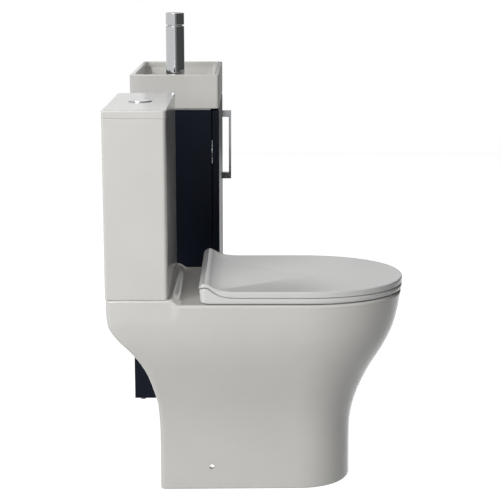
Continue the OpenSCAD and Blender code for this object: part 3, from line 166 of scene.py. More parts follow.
def skin(rings, loop=False):
    """Points and faces of a surface through rings of equal point counts, closed by flat ends or as a loop."""
    rings = np.stack(rings)
    grid = np.arange(rings.shape[0] * rings.shape[1]).reshape(rings.shape[:2])
    near, far = (grid, np.roll(grid, -1, 0)) if loop else (grid[:-1], grid[1:])
    quads = np.stack([near, np.roll(near, -1, 1), np.roll(far, -1, 1), far], -1).reshape(-1, 4).tolist()
    ends = [] if loop else [grid[0, ::-1].tolist(), grid[-1].tolist()]
    return rings.reshape(-1, 3), quads + ends


def shape(name, surface, centre_x):
    """Puts a surface, in millimetres from the wall and a half's centre line, into the frame in metres."""
    points, faces = surface
    mesh = bpy.data.meshes.new(name)
    world = np.column_stack([centre_x - points[:, 0], WALL_Y - points[:, 1], points[:, 2]]) / 1000
    mesh.from_pydata(world.tolist(), [], faces)
    mesh.polygons.foreach_set("use_smooth", np.ones(len(mesh.polygons), bool))
    made = bpy.data.objects.new(name, mesh)
    bpy.context.scene.collection.objects.link(made)
    return made


def bar(r, start, end, sides=64):
    """Closed round bar between two points: one circle square to the line at each end."""
    start, end = np.array(start, float), np.array(end, float)
    along = (end - start) / np.linalg.norm(end - start)
    across = np.cross(along, [1, 0, 0] if abs(along[0]) < 0.9 else [0, 1, 0])
    across /= np.linalg.norm(across)
    c, s = arc(0, 360 * (1 - 1 / sides), sides)
    circle = r * (c[:, None] * across + s[:, None] * np.cross(along, across))
    return skin([start + circle, end + circle])


def slab(x, y, z):
    """Closed rectangular block between the given limits."""
    flat = np.array([[x[0], y[0]], [x[1], y[0]], [x[1], y[1]], [x[0], y[1]]], float)
    return skin([at_height(flat, z[0]), at_height(flat, z[1])])


def applied(piece):
    """Makes the piece's modifiers final, so that its own mesh is what shows."""
    result = bpy.data.meshes.new_from_object(piece.evaluated_get(bpy.context.evaluated_depsgraph_get()))
    piece.modifiers.clear()
    piece.data = result


def carved(piece, centre_x, steps):
    """Joins a surface to the piece, or cuts it out, for each (UNION or DIFFERENCE, surface) in turn."""
    tools = []
    for kind, surface in steps:
        tools.append(shape("tool", surface, centre_x))
        step = piece.modifiers.new("step", "BOOLEAN")
        step.operation, step.object, step.solver = kind, tools[-1], "MANIFOLD"
    applied(piece)
    for tool in tools:
        bpy.data.objects.remove(tool)


def finished(piece, material, angle=32):
    """Smooth faces but for edges sharper than the angle, normals that favour broad faces, one material."""
    piece.data.polygons.foreach_set("use_smooth", np.ones(len(piece.data.polygons), bool))
    piece.data.set_sharp_from_angle(angle=math.radians(angle))
    normals = piece.modifiers.new("normals", "WEIGHTED_NORMAL")
    normals.keep_sharp = True
    applied(piece)
    piece.data.materials.clear()
    piece.data.materials.append(material)
    return piece


def repaint(material, *nodes):
    """Gives the finish to nodes of the frame that keep their own shape."""
    for name in nodes:
        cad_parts[name].data.materials.clear()
        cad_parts[name].data.materials.append(material)


# The pan's deck, platform, reach and nose, its walls, and how far its foot stands in on each side
DECK_Z, DECK_HW, PLATFORM, PAN_REACH, PAN_BOW = 405.0, 177.0, 10.0, 598, 204
SKIRT_T, BOWL_DEPTH, BOWL_T = 11.0, 240, 12
FOOT_SIDE_IN, FOOT_BACK_IN, FOOT_FRONT_IN = 59.5, 100, 103
# How far the sides, front and back are drawn in, as shares of those three, from the floor up
pan_side = [
    (0, 1), (0.2, 1.02), (0.32, 0.97), (0.44, 0.83), (0.58, 0.55), (0.72, 0.25), (0.81, 0.1), (0.9, 0.03),
    (1, 0)]
pan_front = [
    (0, 1), (0.2, 1.005), (0.32, 0.985), (0.44, 0.875), (0.58, 0.635), (0.72, 0.31), (0.81, 0.15),
    (0.9, 0.06), (1, 0)]
pan_back = [
    (0, 1), (0.32, 1), (0.44, 0.975), (0.48, 0.955), (0.62, 0.79), (0.7, 0.62), (0.76, 0.43), (0.81, 0.24),
    (0.87, 0.065), (0.94, 0), (1, 0)]
# Along the pan's side the points crowd where the platform comes down to the deck
pan_sides = np.concatenate([np.linspace(380, 172, 24), np.linspace(167, 112, 26), np.linspace(102, 22, 9)])
pan_sides = (PAN_REACH - PAN_BOW - pan_sides) / 383


def pan_plan(level, inset):
    """The pan's outline at a share of its height: the deck's, drawn in at the sides, front and back."""
    narrowing = keyed(pan_side, level)
    hw = DECK_HW - FOOT_SIDE_IN * narrowing - inset
    back = 1 + FOOT_BACK_IN * keyed(pan_back, level) + inset
    front = PAN_REACH - FOOT_FRONT_IN * keyed(pan_front, level) - inset
    bow = PAN_BOW - 89 * narrowing - inset
    return nosed(hw, hw - 5 * narrowing, back, front, bow, 2.15, max(10 - inset, 3), pan_sides)


def bowl_plan(level, grow):
    """The bowl's outline at a share of its depth, drawing in most at the front."""
    hw = 118 - keyed([(0, 0), (0.3, 8), (0.55, 24), (0.8, 44), (1, 58)], level) + grow
    back = 266 + keyed([(0, 0), (0.3, 3), (0.55, 9), (0.8, 17), (1, 22)], level) - grow
    front = 560 - keyed([(0, 0), (0.3, 12), (0.55, 44), (0.8, 88), (1, 118)], level) + grow
    return nosed(hw, hw, back, front, (front - back) * 0.62, 2.05, min(hw, (front - back) * 0.36), pan_sides)


def with_platform(ring, share=1.0):
    """Lifts the deck behind the seat by the platform's height, on an S curve, and draws its sides in."""
    rise = (1 - ease((ring[:, 1] - 127) / 20)) * share
    still = np.ones_like(rise)
    return ring * np.column_stack([1 - 0.0205 * rise, still, still]) + np.outer(rise * PLATFORM, [0, 0, 1])


# From the bowl's underside down the hollow of the skirt, round its foot, up outside, and over into the bowl
bowl_foot, under_depth, deck_t = on_rays(bowl_plan(1, 0), 365, 20), BOWL_DEPTH + BOWL_T, 20
rings = [at_height(bowl_foot, DECK_Z - under_depth)]
rings += [at_height(bowl_plan(s, BOWL_T), DECK_Z - under_depth * s) for s in np.linspace(1, 0.2, 14)]
rings += [
    at_height(bowl_plan(deck_t / BOWL_DEPTH, BOWL_T), DECK_Z - deck_t),
    at_height(pan_plan(1 - deck_t / DECK_Z, SKIRT_T), DECK_Z - deck_t)]
rings += [at_height(pan_plan(s, SKIRT_T), DECK_Z * s) for s in np.linspace(0.87, 0, 16)]
c, s = arc(0, 90, 4)
rings += [at_height(pan_plan(0, 3 * (1 - c_)), 3 * (1 - s_)) for c_, s_ in zip(c[::-1], s[::-1])]
rings += [
    with_platform(at_height(pan_plan(s, 0), DECK_Z * s), ease((s - 0.9) / 0.08))
    for s in np.linspace(0.015, 0.985, 62)]
c, s = arc(8, 90, 7)
rings += [with_platform(at_height(pan_plan(1, 6 * (1 - c_)), DECK_Z - 6 + 6 * s_)) for c_, s_ in zip(c, s)]
rim, mouth = pan_plan(1, 6), bowl_plan(0, 5)
rings += [with_platform(at_height(rim + (mouth - rim) * t, DECK_Z)) for t in np.linspace(0.015, 1, 66)]
c, s = arc(18, 90, 5)
rings += [at_height(bowl_plan(0, 5 * (1 - s_)), DECK_Z - 5 * (1 - c_)) for c_, s_ in zip(c, s)]
rings += [at_height(bowl_plan(s, 0), DECK_Z - BOWL_DEPTH * s) for s in np.linspace(0.04, 1, 34)]
rings += [at_height(bowl_foot, DECK_Z - BOWL_DEPTH)]


# Waterways: the flush inlet and its channel to the bowl, the sump, the weir behind it and the outlet
FLUSH_Y, CHANNEL_Z, SUMP_Y, WEIR_Y, WEIR_Z, OUTLET_Z = 62, 357, 345, 172, 228, 180
WATERWAY_T = 10
BOLT_X, FILL_X, HINGE_X = (-75, 75), -125, (-77.5, 77.5)


def upright(r, x, y, low, high, sides=64):
    """Closed round bar that stands at x, y."""
    return bar(r, (x, y, low), (x, y, high), sides)


def running(r, back, front, z, sides=64):
    """Closed round bar along the centre line, out from the wall."""
    return bar(r, (0, back, z), (0, front, z), sides)


def trapway(wall):
    """Back from the sump, up behind the bowl, over the weir and down: four round lengths, bare or walled."""
    lean = np.array([0, -math.sin(math.radians(10)), math.cos(math.radians(10))])
    foot = np.array([0, 259, 93])
    return [
        running(28 + wall, 255, SUMP_Y, 118),
        bar(28 + wall, foot - wall * lean, foot + (159.4 + wall) * lean),
        running(28 + wall, WEIR_Y, 237, WEIR_Z),
        upright(30 + wall, 0, WEIR_Y, OUTLET_Z, 250 + wall)]


pan_grown = [
    upright(49, 0, FLUSH_Y, 379, 395), upright(32, 0, FLUSH_Y, 339, 390),
    running(28, FLUSH_Y, 262, CHANNEL_Z - 0.1), upright(58, 0, SUMP_Y, 80, 163), *trapway(WATERWAY_T),
    running(51, 104, 130, OUTLET_Z), running(50, 128, 212, OUTLET_Z)]
pan_cuts = [
    upright(47, 0, FLUSH_Y, 385, 417), upright(24, 0, FLUSH_Y, CHANNEL_Z, 387),
    running(18, FLUSH_Y, 278, CHANNEL_Z), upright(48, 0, SUMP_Y, 90, 166), *trapway(0),
    running(41, 102, 202, OUTLET_Z), upright(20, FILL_X, FLUSH_Y, 383, 417),
    bar(5.3, (-178, 207, 48), (178, 207, 48)),
    *[upright(5, x, FLUSH_Y, 383, 417) for x in BOLT_X], *[upright(6, x, 206, 383, 407) for x in HINGE_X]]
pan = shape("pan_china", skin(rings), TOILET_X)
carved(pan, TOILET_X, [("DIFFERENCE", slab((-85, 85), (-1, 123), (-1, 245)))]
       + [("UNION", piece) for piece in pan_grown] + [("DIFFERENCE", piece) for piece in pan_cuts])
finished(pan, china)
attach(pan, "set")
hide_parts("pan_skirt", "pan_deck", "pan_bowl", "pan_waterways")

# --- Cistern ---------------------------------------------------------------------------------------
# The same china: an open tank bolted down on the pan's platform, and a loose lid that its rib keeps in
# place. Both were cast in moulds, so every edge has a small round that carries a bright line.


def round_plan(hw, back, front, back_r, front_r, centre=0.0):
    """Rectangle in plan with one corner radius at the wall side and one at the front."""
    corners = []
    for start, x, y, r in (
            (0, 1, front, front_r), (90, -1, front, front_r),
            (180, -1, back, back_r), (270, 1, back, back_r)):
        c, s = arc(start, start + 90, 9)
        corners.append(np.stack([centre + x * (hw - r) + r * c, y + (-r if y == front else r) + r * s], 1))
    return np.concatenate(corners)


def rounded_rise(plan, low, high, low_r, high_r):
    """Rings of plan(inset) from low to high, rounded over at each end by quarter circles."""
    c, s = arc(0, 90, 6)
    rings = [at_height(plan(low_r * (1 - a)), low + low_r * (1 - b)) for a, b in zip(c[::-1], s[::-1])]
    return rings + [at_height(plan(high_r * (1 - a)), high - high_r * (1 - b)) for a, b in zip(c, s)]


TANK_Z, TANK_TOP, TANK_T = DECK_Z + PLATFORM, 771.5, 9


def tank_plan(inset):
    """The tank's outline drawn in by the inset, its corner rounds shrinking with it."""
    return round_plan(172.5 - inset, inset, 124 - inset, max(5 - inset, 1.5), max(8 - inset, 2))


rings = rounded_rise(tank_plan, TANK_Z, TANK_TOP, 1.5, 1.5)
rings += [at_height(tank_plan(TANK_T), z) for z in (TANK_TOP, 600, 433)] + [at_height(tank_plan(15), 427)]
tank = shape("cistern_tank_china", skin(rings), TOILET_X)
carved(tank, TOILET_X, [
    ("DIFFERENCE", upright(r, x, FLUSH_Y, 413, 430))
    for r, x in ((32, 0), (11.5, FILL_X), (5, BOLT_X[0]), (5, BOLT_X[1]))])
finished(tank, china)
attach(tank, "set")
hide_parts("cistern_tank")


CAP_TOP, RIB_Z = 788, TANK_TOP - 8


def lid_cap_plan(inset):
    """The lid's outline: the tank's with 0.8 to spare at the sides and front, drawn in by the inset."""
    return round_plan(173.3 - inset, inset, 124.8 - inset, max(5 - inset, 1), 8.8 - inset)


def rib_plan(inset):
    """The outline of the rib under the lid, which drops inside the tank."""
    return round_plan(162 - inset, 10.5 + inset, 113.5 - inset, 5, 6)


rings = [at_height(rib_plan(5), z) for z in (778, RIB_Z)]
rings += [at_height(rib_plan(0), z) for z in (RIB_Z, TANK_TOP)]
rings += rounded_rise(lid_cap_plan, TANK_TOP, CAP_TOP, 1.2, 3.5)
cap = shape("cistern_lid_china", skin(rings), TOILET_X)
carved(cap, TOILET_X, [("DIFFERENCE", upright(20.3, 0, FLUSH_Y, 770, 790, 96))])
finished(cap, china)
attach(cap, "set")
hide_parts("cistern_lid")

# --- Flush buttons ---------------------------------------------------------------------------------
# Moulded ABS, bright chrome plated: a bezel clamped through the lid, and two half-round buttons that
# slide in its sleeve, parted by a narrow slit.


def chrome_plate(name, colour, rough, haze_mm):
    """Metal plate: its gloss and tone cloud a little at the given size, over the base's slight wave."""
    made, tree, place = finish_named(name)
    haze = noise(tree, place, haze_mm, 3.0)
    surfaced(
        tree, haze, 0.04, 0.2, Base_Color=blend(tree, haze, colour, "#B9BBBD"), Metallic=1.0,
        Roughness=spread(tree, haze, rough * 0.6, rough * 1.6))
    return made


# Mirror bright nickel and chrome over smooth plastic or brass
chrome = chrome_plate("Chrome_plate", "#BFC1C3", 0.06, 14)


def turned(profile, centre, sides=96):
    """Closed solid of revolution: each (radius, height) of the profile carried round the upright axis."""
    c, s = arc(0, 360 * (1 - 1 / sides), sides)
    ring = np.stack([c, s], 1)
    return [at_height(centre + r * ring, z) for r, z in profile]


BUTTON_AT = np.array([0.0, FLUSH_Y])
profile = [(18.5, 756), (20, 756), (20, 788), (23.7, 788), (24.5, 788.6)]
profile += [(22.9 + 1.6 * a, 788.9 + 1.6 * b) for a, b in zip(*arc(0, 90, 6))]
profile += [(19.3, 790.5), (18.5, 789.7)]
bezel = shape("button_bezel_plated", skin(turned(profile, BUTTON_AT), loop=True), TOILET_X)
finished(bezel, chrome)
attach(bezel, "set")
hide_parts("button_bezel")


def half_disc(side, inset):
    """Half of a circle of radius 18.2 less the inset, cut off by the slit's edge."""
    r, edge = 18.2 - inset, 0.5 + inset
    reach = math.degrees(math.acos(edge / r))
    c, s = arc(-reach, reach, 49)
    chord = np.linspace(1, -1, 13)[1:-1] * r * s[-1]
    points = np.concatenate([np.stack([r * c, r * s], 1), np.stack([np.full_like(chord, edge), chord], 1)])
    return BUTTON_AT + (points if side > 0 else -points)


for side, node in ((1, "full_flush_button"), (-1, "half_flush_button")):
    c, s = arc(0, 90, 5)
    rings = [at_height(half_disc(side, 0), z) for z in (776, 783)]
    rings += [at_height(half_disc(side, 0.9 * (1 - a)), 789.1 + 0.9 * b) for a, b in zip(c, s)]
    rings += [at_height(half_disc(side, inset), 790 - 0.5 * ease(inset / 9)) for inset in (2.5, 4.5, 7)]
    button = shape(node + "_plated", skin(rings), TOILET_X)
    finished(button, chrome)
    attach(button, "full_button" if side > 0 else "half_button")
    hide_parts(node)

# --- Inside the cistern ------------------------------------------------------------------------------
# Injection-moulded valves, nuts and rods, rubber washers, and zinc plated bolts. All of it is inside the
# tank or under the platform.


def moulded(name, pale, deep, rough, grain_mm):
    """Moulded plastic or rubber: tone that drifts over 30 mm, and a fine bump of the tool's spark grain."""
    made, tree, place = finish_named(name)
    surfaced(
        tree, noise(tree, place, grain_mm, 1.0), 0.15, 0.1,
        Base_Color=blend(tree, noise(tree, place, 30), pale, deep), Roughness=rough, IOR=1.49)
    return made


# Plain satin white and grey as they leave the tool, and a dull black
white_plastic = moulded("White_polypropylene", "#E2E2DF", "#D9D9D6", 0.4, 0.8)
grey_plastic = moulded("Grey_ABS", "#8A8D90", "#7F8285", 0.45, 0.8)
rubber = moulded("Black_EPDM_rubber", "#2A2A2B", "#222223", 0.7, 0.6)
# Zinc plate: grey and a little cloudy beside the chrome
steel = chrome_plate("Zinc_plated_steel", "#BFC1C4", 0.22, 5)
repaint(
    white_plastic, "bezel_nut", "full_flush_rod", "half_flush_rod", "flush_valve_body", "flush_valve_piston",
    "valve_nuts", "fill_valve_body", "hinge_nuts")
repaint(grey_plastic, "fill_valve_float")
repaint(rubber, "flush_valve_seal", "coupling_washer", "bolt_washers")
repaint(steel, "cistern_bolts", "wing_nuts", "hinge_bolts")

# --- Seat ring ---------------------------------------------------------------------------------------
# Pressed thermoset, thick and glossy: a ring that rises at the back over its hinges, with a round bulge
# behind them. Slots under the rise take the hinge posts.
# A cleaner white than the china's, with a slightly softer shine
seat_plastic = glaze("Pressed_urea_plastic", "#DEDEDC", "#D8D8D7", 0.16)
PIVOT_Y, PIVOT_Z, BARREL_R = 196.0, 420.0, 18.5
SEAT_Z, SEAT_TOP, SEAT_HW, SEAT_FRONT, SEAT_BOW = 407, 418, 174, 600, 204
# The rise over the hinges, as shares of 20.5, at distances in front of the pin
SEAT_RISE = [
    (-14, 0.69), (-7, 0.93), (0, 1), (7, 0.93), (14, 0.69), (20, 0.48), (28, 0.265), (40, 0.11),
    (54, 0.025), (74, 0)]
seat_sides = (SEAT_FRONT - SEAT_BOW - np.linspace(388, 203, 48)) / 199


def seat_top(y):
    """Height of the seat's top: a round about the hinge pin, which eases down to the flat in front of it."""
    past = np.clip(y - PIVOT_Y, -12, 74)
    over_pin = PIVOT_Z + np.sqrt(np.maximum(BARREL_R ** 2 - past ** 2, 0))
    return np.where(y < PIVOT_Y, over_pin, SEAT_TOP + 20.5 * keyed(SEAT_RISE, past))


def seat_plan(back, inset):
    """The seat's outline from the given back edge, drawn in by the inset."""
    hw = SEAT_HW - inset
    return nosed(hw, hw, back, SEAT_FRONT - inset, SEAT_BOW - inset, 2.1, 12, seat_sides)


def hole_plan(grow):
    """The outline of the seat's hole, grown by the given amount."""
    back, front = 274 - grow, 558 + grow
    return nosed(107 + grow, 107 + grow, back, front, (front - back) * 0.6, 2.05, 60, seat_sides)


def followed(plan, drop):
    """A plan outline laid on the seat's top surface, less a drop."""
    return at_height(plan, seat_top(plan[:, 1]) - drop)


c, s = arc(0, 90, 6)
rings = [at_height(seat_plan(PIVOT_Y - 9 * b, 3 * (1 - b)), SEAT_Z + 5 * (1 - a)) for a, b in zip(c, s)]
low, high = seat_plan(187, 0), seat_plan(185, 0)
rings += [
    at_height(low + (high - low) * t, SEAT_Z + 5 + (seat_top(low[:, 1]) - 416) * t)
    for t in (0.25, 0.5, 0.75)]
rings += [followed(seat_plan(185 + 4 * (1 - a), 3.6 * (1 - a)), 4 * (1 - b)) for a, b in zip(c, s)]
rim, mouth = seat_plan(189, 3.6), hole_plan(5)
rings += [
    followed(rim + (mouth - rim) * t, 2.2 * ease((t - 0.55) / 0.45)) for t in np.linspace(0.03, 0.96, 36)]
rings += [followed(hole_plan(5 * (1 - b)), 2.2 + 4 * (1 - a)) for a, b in zip(c, s)]
rings += [at_height(hole_plan(4 * (1 - a)), 410 - 3 * b) for a, b in zip(c, s)]
seat = shape("seat_ring_pressed", skin(rings, loop=True), TOILET_X)
seat_cuts = []
for x in HINGE_X:
    seat_cuts += [
        slab((x - 17, x + 17), (176, 234), (406, 447)),
        bar(4.05, (x - 31, PIVOT_Y, PIVOT_Z), (x + 31, PIVOT_Y, PIVOT_Z), 32)]
seat_cuts += [upright(7.1, side * x, y, 406, 410, 32) for x, y in ((146, 280), (75, 545)) for side in (-1, 1)]
carved(seat, TOILET_X, [("DIFFERENCE", cut) for cut in seat_cuts])
finished(seat, seat_plastic)
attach(seat, "seat")
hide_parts("seat_ring")

# --- Seat lid ----------------------------------------------------------------------------------------
# The same pressing: a thin lid with a raised rim, a shallow dish and a rolled lip at the back, hollow
# underneath, with knuckles that turn on the hinge pins beside the posts.
LID_MIDDLE_Y, LID_Z, LIP_H, LID_DISH = 400.0, 431.5, 15.5, 7
# The lip's height as shares of its own, at distances in front of the pin
LIP_RISE = [
    (-12, 0.66), (-8, 0.89), (-4, 0.99), (0, 1), (6, 0.85), (14, 0.56), (28, 0.2), (42, 0.06),
    (56, 0.01), (74, 0)]
lid_rim = seat_plan(184, 0)


def lid_plan(share):
    """The lid's outline shrunk towards its middle, so a share of 1 is the rim."""
    return np.stack([lid_rim[:, 0] * share, LID_MIDDLE_Y + (lid_rim[:, 1] - LID_MIDDLE_Y) * share], 1)


def lid_top(y):
    """Height of the lid's top: level, then up to the lip's crest over the pin and down behind it."""
    return LID_Z + LIP_H * keyed(LIP_RISE, np.clip(y - PIVOT_Y, -12, 74))


def lid_under(y):
    """Height of the lid's underside: 1 above the seat, and 0.7 more over the hinges."""
    return seat_top(y) + 1 + 0.7 * (1 - ease((y - 210) / 20))


def lid_ring(share):
    """One ring of the top: the plain height less a dish that dies out at the rim, the lip and the nose."""
    plan = lid_plan(share)
    y = plan[:, 1]
    dish = LID_DISH * (1 - min(share / 0.975, 1) ** 1.6) * ease((580 - y) / 260) * ease((y - 204) / 50)
    return at_height(plan, lid_top(y) - dish)


def lid_below(share, lift, hollow=0.0):
    """One ring of the underside, raised by lift, and hollowed only in front of the hinges."""
    plan = lid_plan(share)
    return at_height(plan, lid_under(plan[:, 1]) + lift + hollow * ease((plan[:, 1] - 204) / 40))


centre = on_rays(lid_rim, LID_MIDDLE_Y, 12)
rings = [at_height(centre, 421)] + [lid_below(t, 0, 2) for t in np.linspace(0.15, 0.92, 24)]
rings += [lid_below(0.935, 0, 1), lid_below(0.95, 0), lid_below(0.9675, 0)]
rings += [lid_below(0.985 + 0.015 * b, 1.5 * (1 - a)) for a, b in zip(c, s)]
edge = lid_plan(1)[:, 1]
edge_r = np.minimum(3.4, (lid_top(edge) - lid_under(edge) - 1.5) / 2)
rings += [at_height(lid_plan(1 - 0.014 * (1 - a)), lid_top(edge) - edge_r * (1 - b)) for a, b in zip(c, s)]
rings += [lid_ring(t) for t in np.concatenate([np.linspace(0.982, 0.86, 24), np.linspace(0.845, 0.12, 30)])]
rings += [at_height(centre, LID_Z - LID_DISH * ease(180 / 260))]
lid = shape("seat_lid_pressed", skin(rings), TOILET_X)
lid_steps = []
for x in HINGE_X:
    for reach in (-11, 11):
        lid_steps += [
            ("UNION", bar(9, (x + reach - 3, PIVOT_Y, PIVOT_Z), (x + reach + 3, PIVOT_Y, PIVOT_Z))),
            ("UNION", slab((x + reach - 3, x + reach + 3), (190, 202), (420, 441.5)))]
    lid_steps += [("DIFFERENCE", bar(4.05, (x - 17, PIVOT_Y, PIVOT_Z), (x + 17, PIVOT_Y, PIVOT_Z), 32))]
lid_steps += [
    ("DIFFERENCE", upright(7.1, side * x, y, 417, 423, 32))
    for x, y in ((146, 290), (85, 535)) for side in (-1, 1)]
carved(lid, TOILET_X, lid_steps)
finished(lid, seat_plastic)
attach(lid, "lid")
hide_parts("seat_lid")

# --- Seat hinges and buffers -------------------------------------------------------------------------
# Zinc castings, chrome plated, bolted down through the deck, with plated steel pins. The buffers are
# soft pale plastic, pushed into the seat and the lid.
# Milky and nearly without shine
soft_plastic = moulded("Soft_translucent_TPE", "#CFCFCC", "#C4C4C1", 0.5, 1.0)
repaint(chrome, "hinge_posts", "hinge_pins")
repaint(soft_plastic, "seat_buffers", "lid_buffers")

# --- Cabinet -----------------------------------------------------------------------------------------
# Boards of medium density fibreboard, sprayed satin navy: two sides to the floor, a base, a plinth set
# back, a shelf on pins, a thin back and two rails. The edges are eased, as the lacquer needs.


def lacquer(name, colour, worn, rough):
    """Sprayed satin lacquer: two close tones that drift over 120 mm, with orange peel about 1.5 mm wide."""
    made, tree, place = finish_named(name)
    drift = noise(tree, place, 120)
    surfaced(
        tree, noise(tree, place, 1.5), 0.2, 0.1, Base_Color=blend(tree, drift, colour, worn),
        Roughness=spread(tree, drift, rough * 0.85, rough * 1.15), IOR=1.5, Specular_IOR_Level=0.1)
    return made


# Near black satin navy with hardly a reflection in it
navy = lacquer("Navy_satin_lacquer", "#0F141E", "#131925", 0.34)
OUTER_HW, INNER_HW, BOARD_D = 212, 197, 193


def eased(piece, width_mm, segments):
    """Rounds every edge of a piece over by the given width."""
    bevel = piece.modifiers.new("eased", "BEVEL")
    bevel.width, bevel.segments = width_mm / 1000, segments
    applied(piece)


def board(name, x, y, z, cuts=(), ease_mm=0.8):
    """A lacquered board: a block, its edges bevelled in two steps, then its holes."""
    made = shape(name, slab(x, y, z), VANITY_X)
    eased(made, ease_mm, 2)
    if cuts:
        carved(made, VANITY_X, [("DIFFERENCE", cut) for cut in cuts])
    return finished(made, navy, 50)


for side, node in ((1, "cabinet_side_left"), (-1, "cabinet_side_right")):
    outer, inner = OUTER_HW * side, INNER_HW * side
    pins = [bar(2.5, (inner - side, y, 327.5), (inner + 9 * side, y, 327.5), 24) for y in (51, 145)]
    panel = board(node + "_lacquered", sorted((inner, outer)), (0, BOARD_D), (3, 718.5), pins)
    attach(panel, "set")
    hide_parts(node)
for node, x, y, z in (
        ("cabinet_base", INNER_HW, (23, BOARD_D), (72, 87)),
        ("cabinet_plinth", INNER_HW, (156, 171), (0, 72)),
        ("cabinet_shelf", INNER_HW - 1, (27, 169), (330, 345))):
    panel = board(node + "_lacquered", (-x, x), y, z)
    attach(panel, "set")
    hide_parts(node)
repaint(navy, "cabinet_back", "cabinet_rails")
repaint(steel, "shelf_pins")
repaint(grey_plastic, "glides")

# --- Door --------------------------------------------------------------------------------------------
# One lacquered board, hung at the toilet side on two concealed hinges, whose cups are let into its back.
# Two screws from behind hold the handle.
CUP_X, CUP_Z, HANDLE_X, SCREW_Z = 188, (173.5, 617.0), -172.5, (502.5, 667.5)
DOOR_FACE = 211
cuts = [bar(17.6, (CUP_X, 194, z), (CUP_X, 206.5, z)) for z in CUP_Z]
cuts += [bar(2.1, (HANDLE_X, 194, z), (HANDLE_X, 212, z), 24) for z in SCREW_Z]
door = board("door_lacquered", (-210.5, 210.5), (195, DOOR_FACE), (73.5, 717), cuts, 1.0)
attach(door, "door")
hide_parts("door")
repaint(steel, "hinge_cups", "hinge_arms", "handle_screws")
repaint(soft_plastic, "door_bumpers")

# --- Handle ------------------------------------------------------------------------------------------
# A zinc die casting, satin chrome plated: a flat grip between two deep square feet.
GRIP_OUT, GRIP_T, GRIP_HW, GRIP_Z, FOOT_H = 23.5, 6, 6, (494, 676), 17
grip_back, grip_front = DOOR_FACE + GRIP_OUT - GRIP_T, DOOR_FACE + GRIP_OUT
outline = np.array([
    (DOOR_FACE, GRIP_Z[0]), (grip_front, GRIP_Z[0]), (grip_front, GRIP_Z[1]), (DOOR_FACE, GRIP_Z[1]),
    (DOOR_FACE, GRIP_Z[1] - FOOT_H), (grip_back, GRIP_Z[1] - FOOT_H),
    (grip_back, GRIP_Z[0] + FOOT_H), (DOOR_FACE, GRIP_Z[0] + FOOT_H)], float)
near, far = (np.insert(outline, 0, x, axis=1) for x in (HANDLE_X - GRIP_HW, HANDLE_X + GRIP_HW))
handle = shape("door_handle_plated", skin([near, far]), VANITY_X)
eased(handle, 0.9, 3)
# A shade darker and softer than the tap's, so that it reads as grey against the white background: the
# softness is the satin finish, but the darker colour is partly painted reflection, standing in for the dim
# surroundings the grip mirrors
finished(handle, chrome_plate("Satin_chrome_with_painted_dim_reflection", "#7F8185", 0.14, 9), 50)
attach(handle, "door")
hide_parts("door_handle")

# --- Basin -------------------------------------------------------------------------------------------
# Glazed china with thin straight walls: a rim all round, a sunk ledge for the tap at the toilet side and
# a shallow bowl with steep ends. It sits on the boards with a dark gap under its edge.


BASIN_Z, BASIN_TOP, BASIN_D, BASIN_T = 721.5, 802, DOOR_FACE, 12
MIDDLE_Y, TAP_X, WASTE_X = BASIN_D / 2, 154, -60


def basin_plan(inset):
    """The basin's outline drawn in by the inset."""
    return round_plan(OUTER_HW - inset, inset, BASIN_D - inset, max(6 - inset, 1), max(6 - inset, 1))


def recess_plan(inset):
    """The outline inside the walls, drawn in by the inset."""
    return round_plan(OUTER_HW - BASIN_T - inset, BASIN_T + inset, BASIN_D - BASIN_T - inset, 8, 8)


def basin_bowl(inset, lip=0.0):
    """The bowl's outline; lip moves only its edge at the tap ledge outward."""
    return round_plan(
        150 - inset + lip / 2, BASIN_T + inset, BASIN_D - BASIN_T - inset, 12, 12, centre=-50 + lip / 2)


foot = round_plan(207, 0, 192, 2, 2)
rings = [at_height(foot, z) for z in (718.5, BASIN_Z)]
rings += rounded_rise(basin_plan, BASIN_Z, BASIN_TOP, 1.5, 2.5)
rings += [at_height(recess_plan(-2.5 * (1 - b)), BASIN_TOP - 2.5 * (1 - a)) for a, b in zip(*arc(0, 90, 6))]
rings += [at_height(recess_plan(5 * (1 - a)), 795 - 5 * b) for a, b in zip(*arc(0, 90, 6))]
basin = shape("basin_china", skin(rings), VANITY_X)
hollow = [at_height(basin_bowl(5 + 14 * (1 - b)), 735.5 + 14 * (1 - a)) for a, b in zip(*arc(0, 90, 8))]
hollow += [at_height(basin_bowl(5 - 5 * t), 749.5 + 37.5 * t) for t in (0.25, 0.5, 0.75, 1)]
hollow += [at_height(basin_bowl(-0.02, 3 * (1 - a)), 787 + 3 * b) for a, b in zip(*arc(15, 90, 5))]
hollow += [at_height(basin_bowl(-0.02, 3), 797)]
carved(basin, VANITY_X, [("DIFFERENCE", skin(hollow))] + [
    ("DIFFERENCE", upright(r, x, MIDDLE_Y, low, high))
    for r, x, low, high in ((28, TAP_X, 717, 776), (17, TAP_X, 775, 792), (22.5, WASTE_X, 717, 737))])
finished(basin, china)
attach(basin, "set")
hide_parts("basin")

# --- Waste and trap ----------------------------------------------------------------------------------
# Chrome plated brass: a flanged waste with a plug that rises, above a moulded bottle trap that
# only shows with the door open.
WASTE_AT = np.array([WASTE_X, MIDDLE_Y])
plug_profile = [(4, 678), (4, 738), (29, 738), (30, 738.8)]
plug_profile += [(28.6 + 1.4 * a, 740.6 + 1.4 * b) for a, b in zip(*arc(0, 90, 6))]
plug_profile += [(22, 742), (8, 742), (1, 742)]
plug = shape("waste_plug_plated", skin(turned(plug_profile, WASTE_AT)), VANITY_X)
finished(plug, chrome)
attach(plug, "plug")
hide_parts("waste_plug")
repaint(chrome, "basin_waste", "waste_nut")
repaint(rubber, "basin_washers")
repaint(white_plastic, "trap_body", "trap_cup", "trap_pipe")

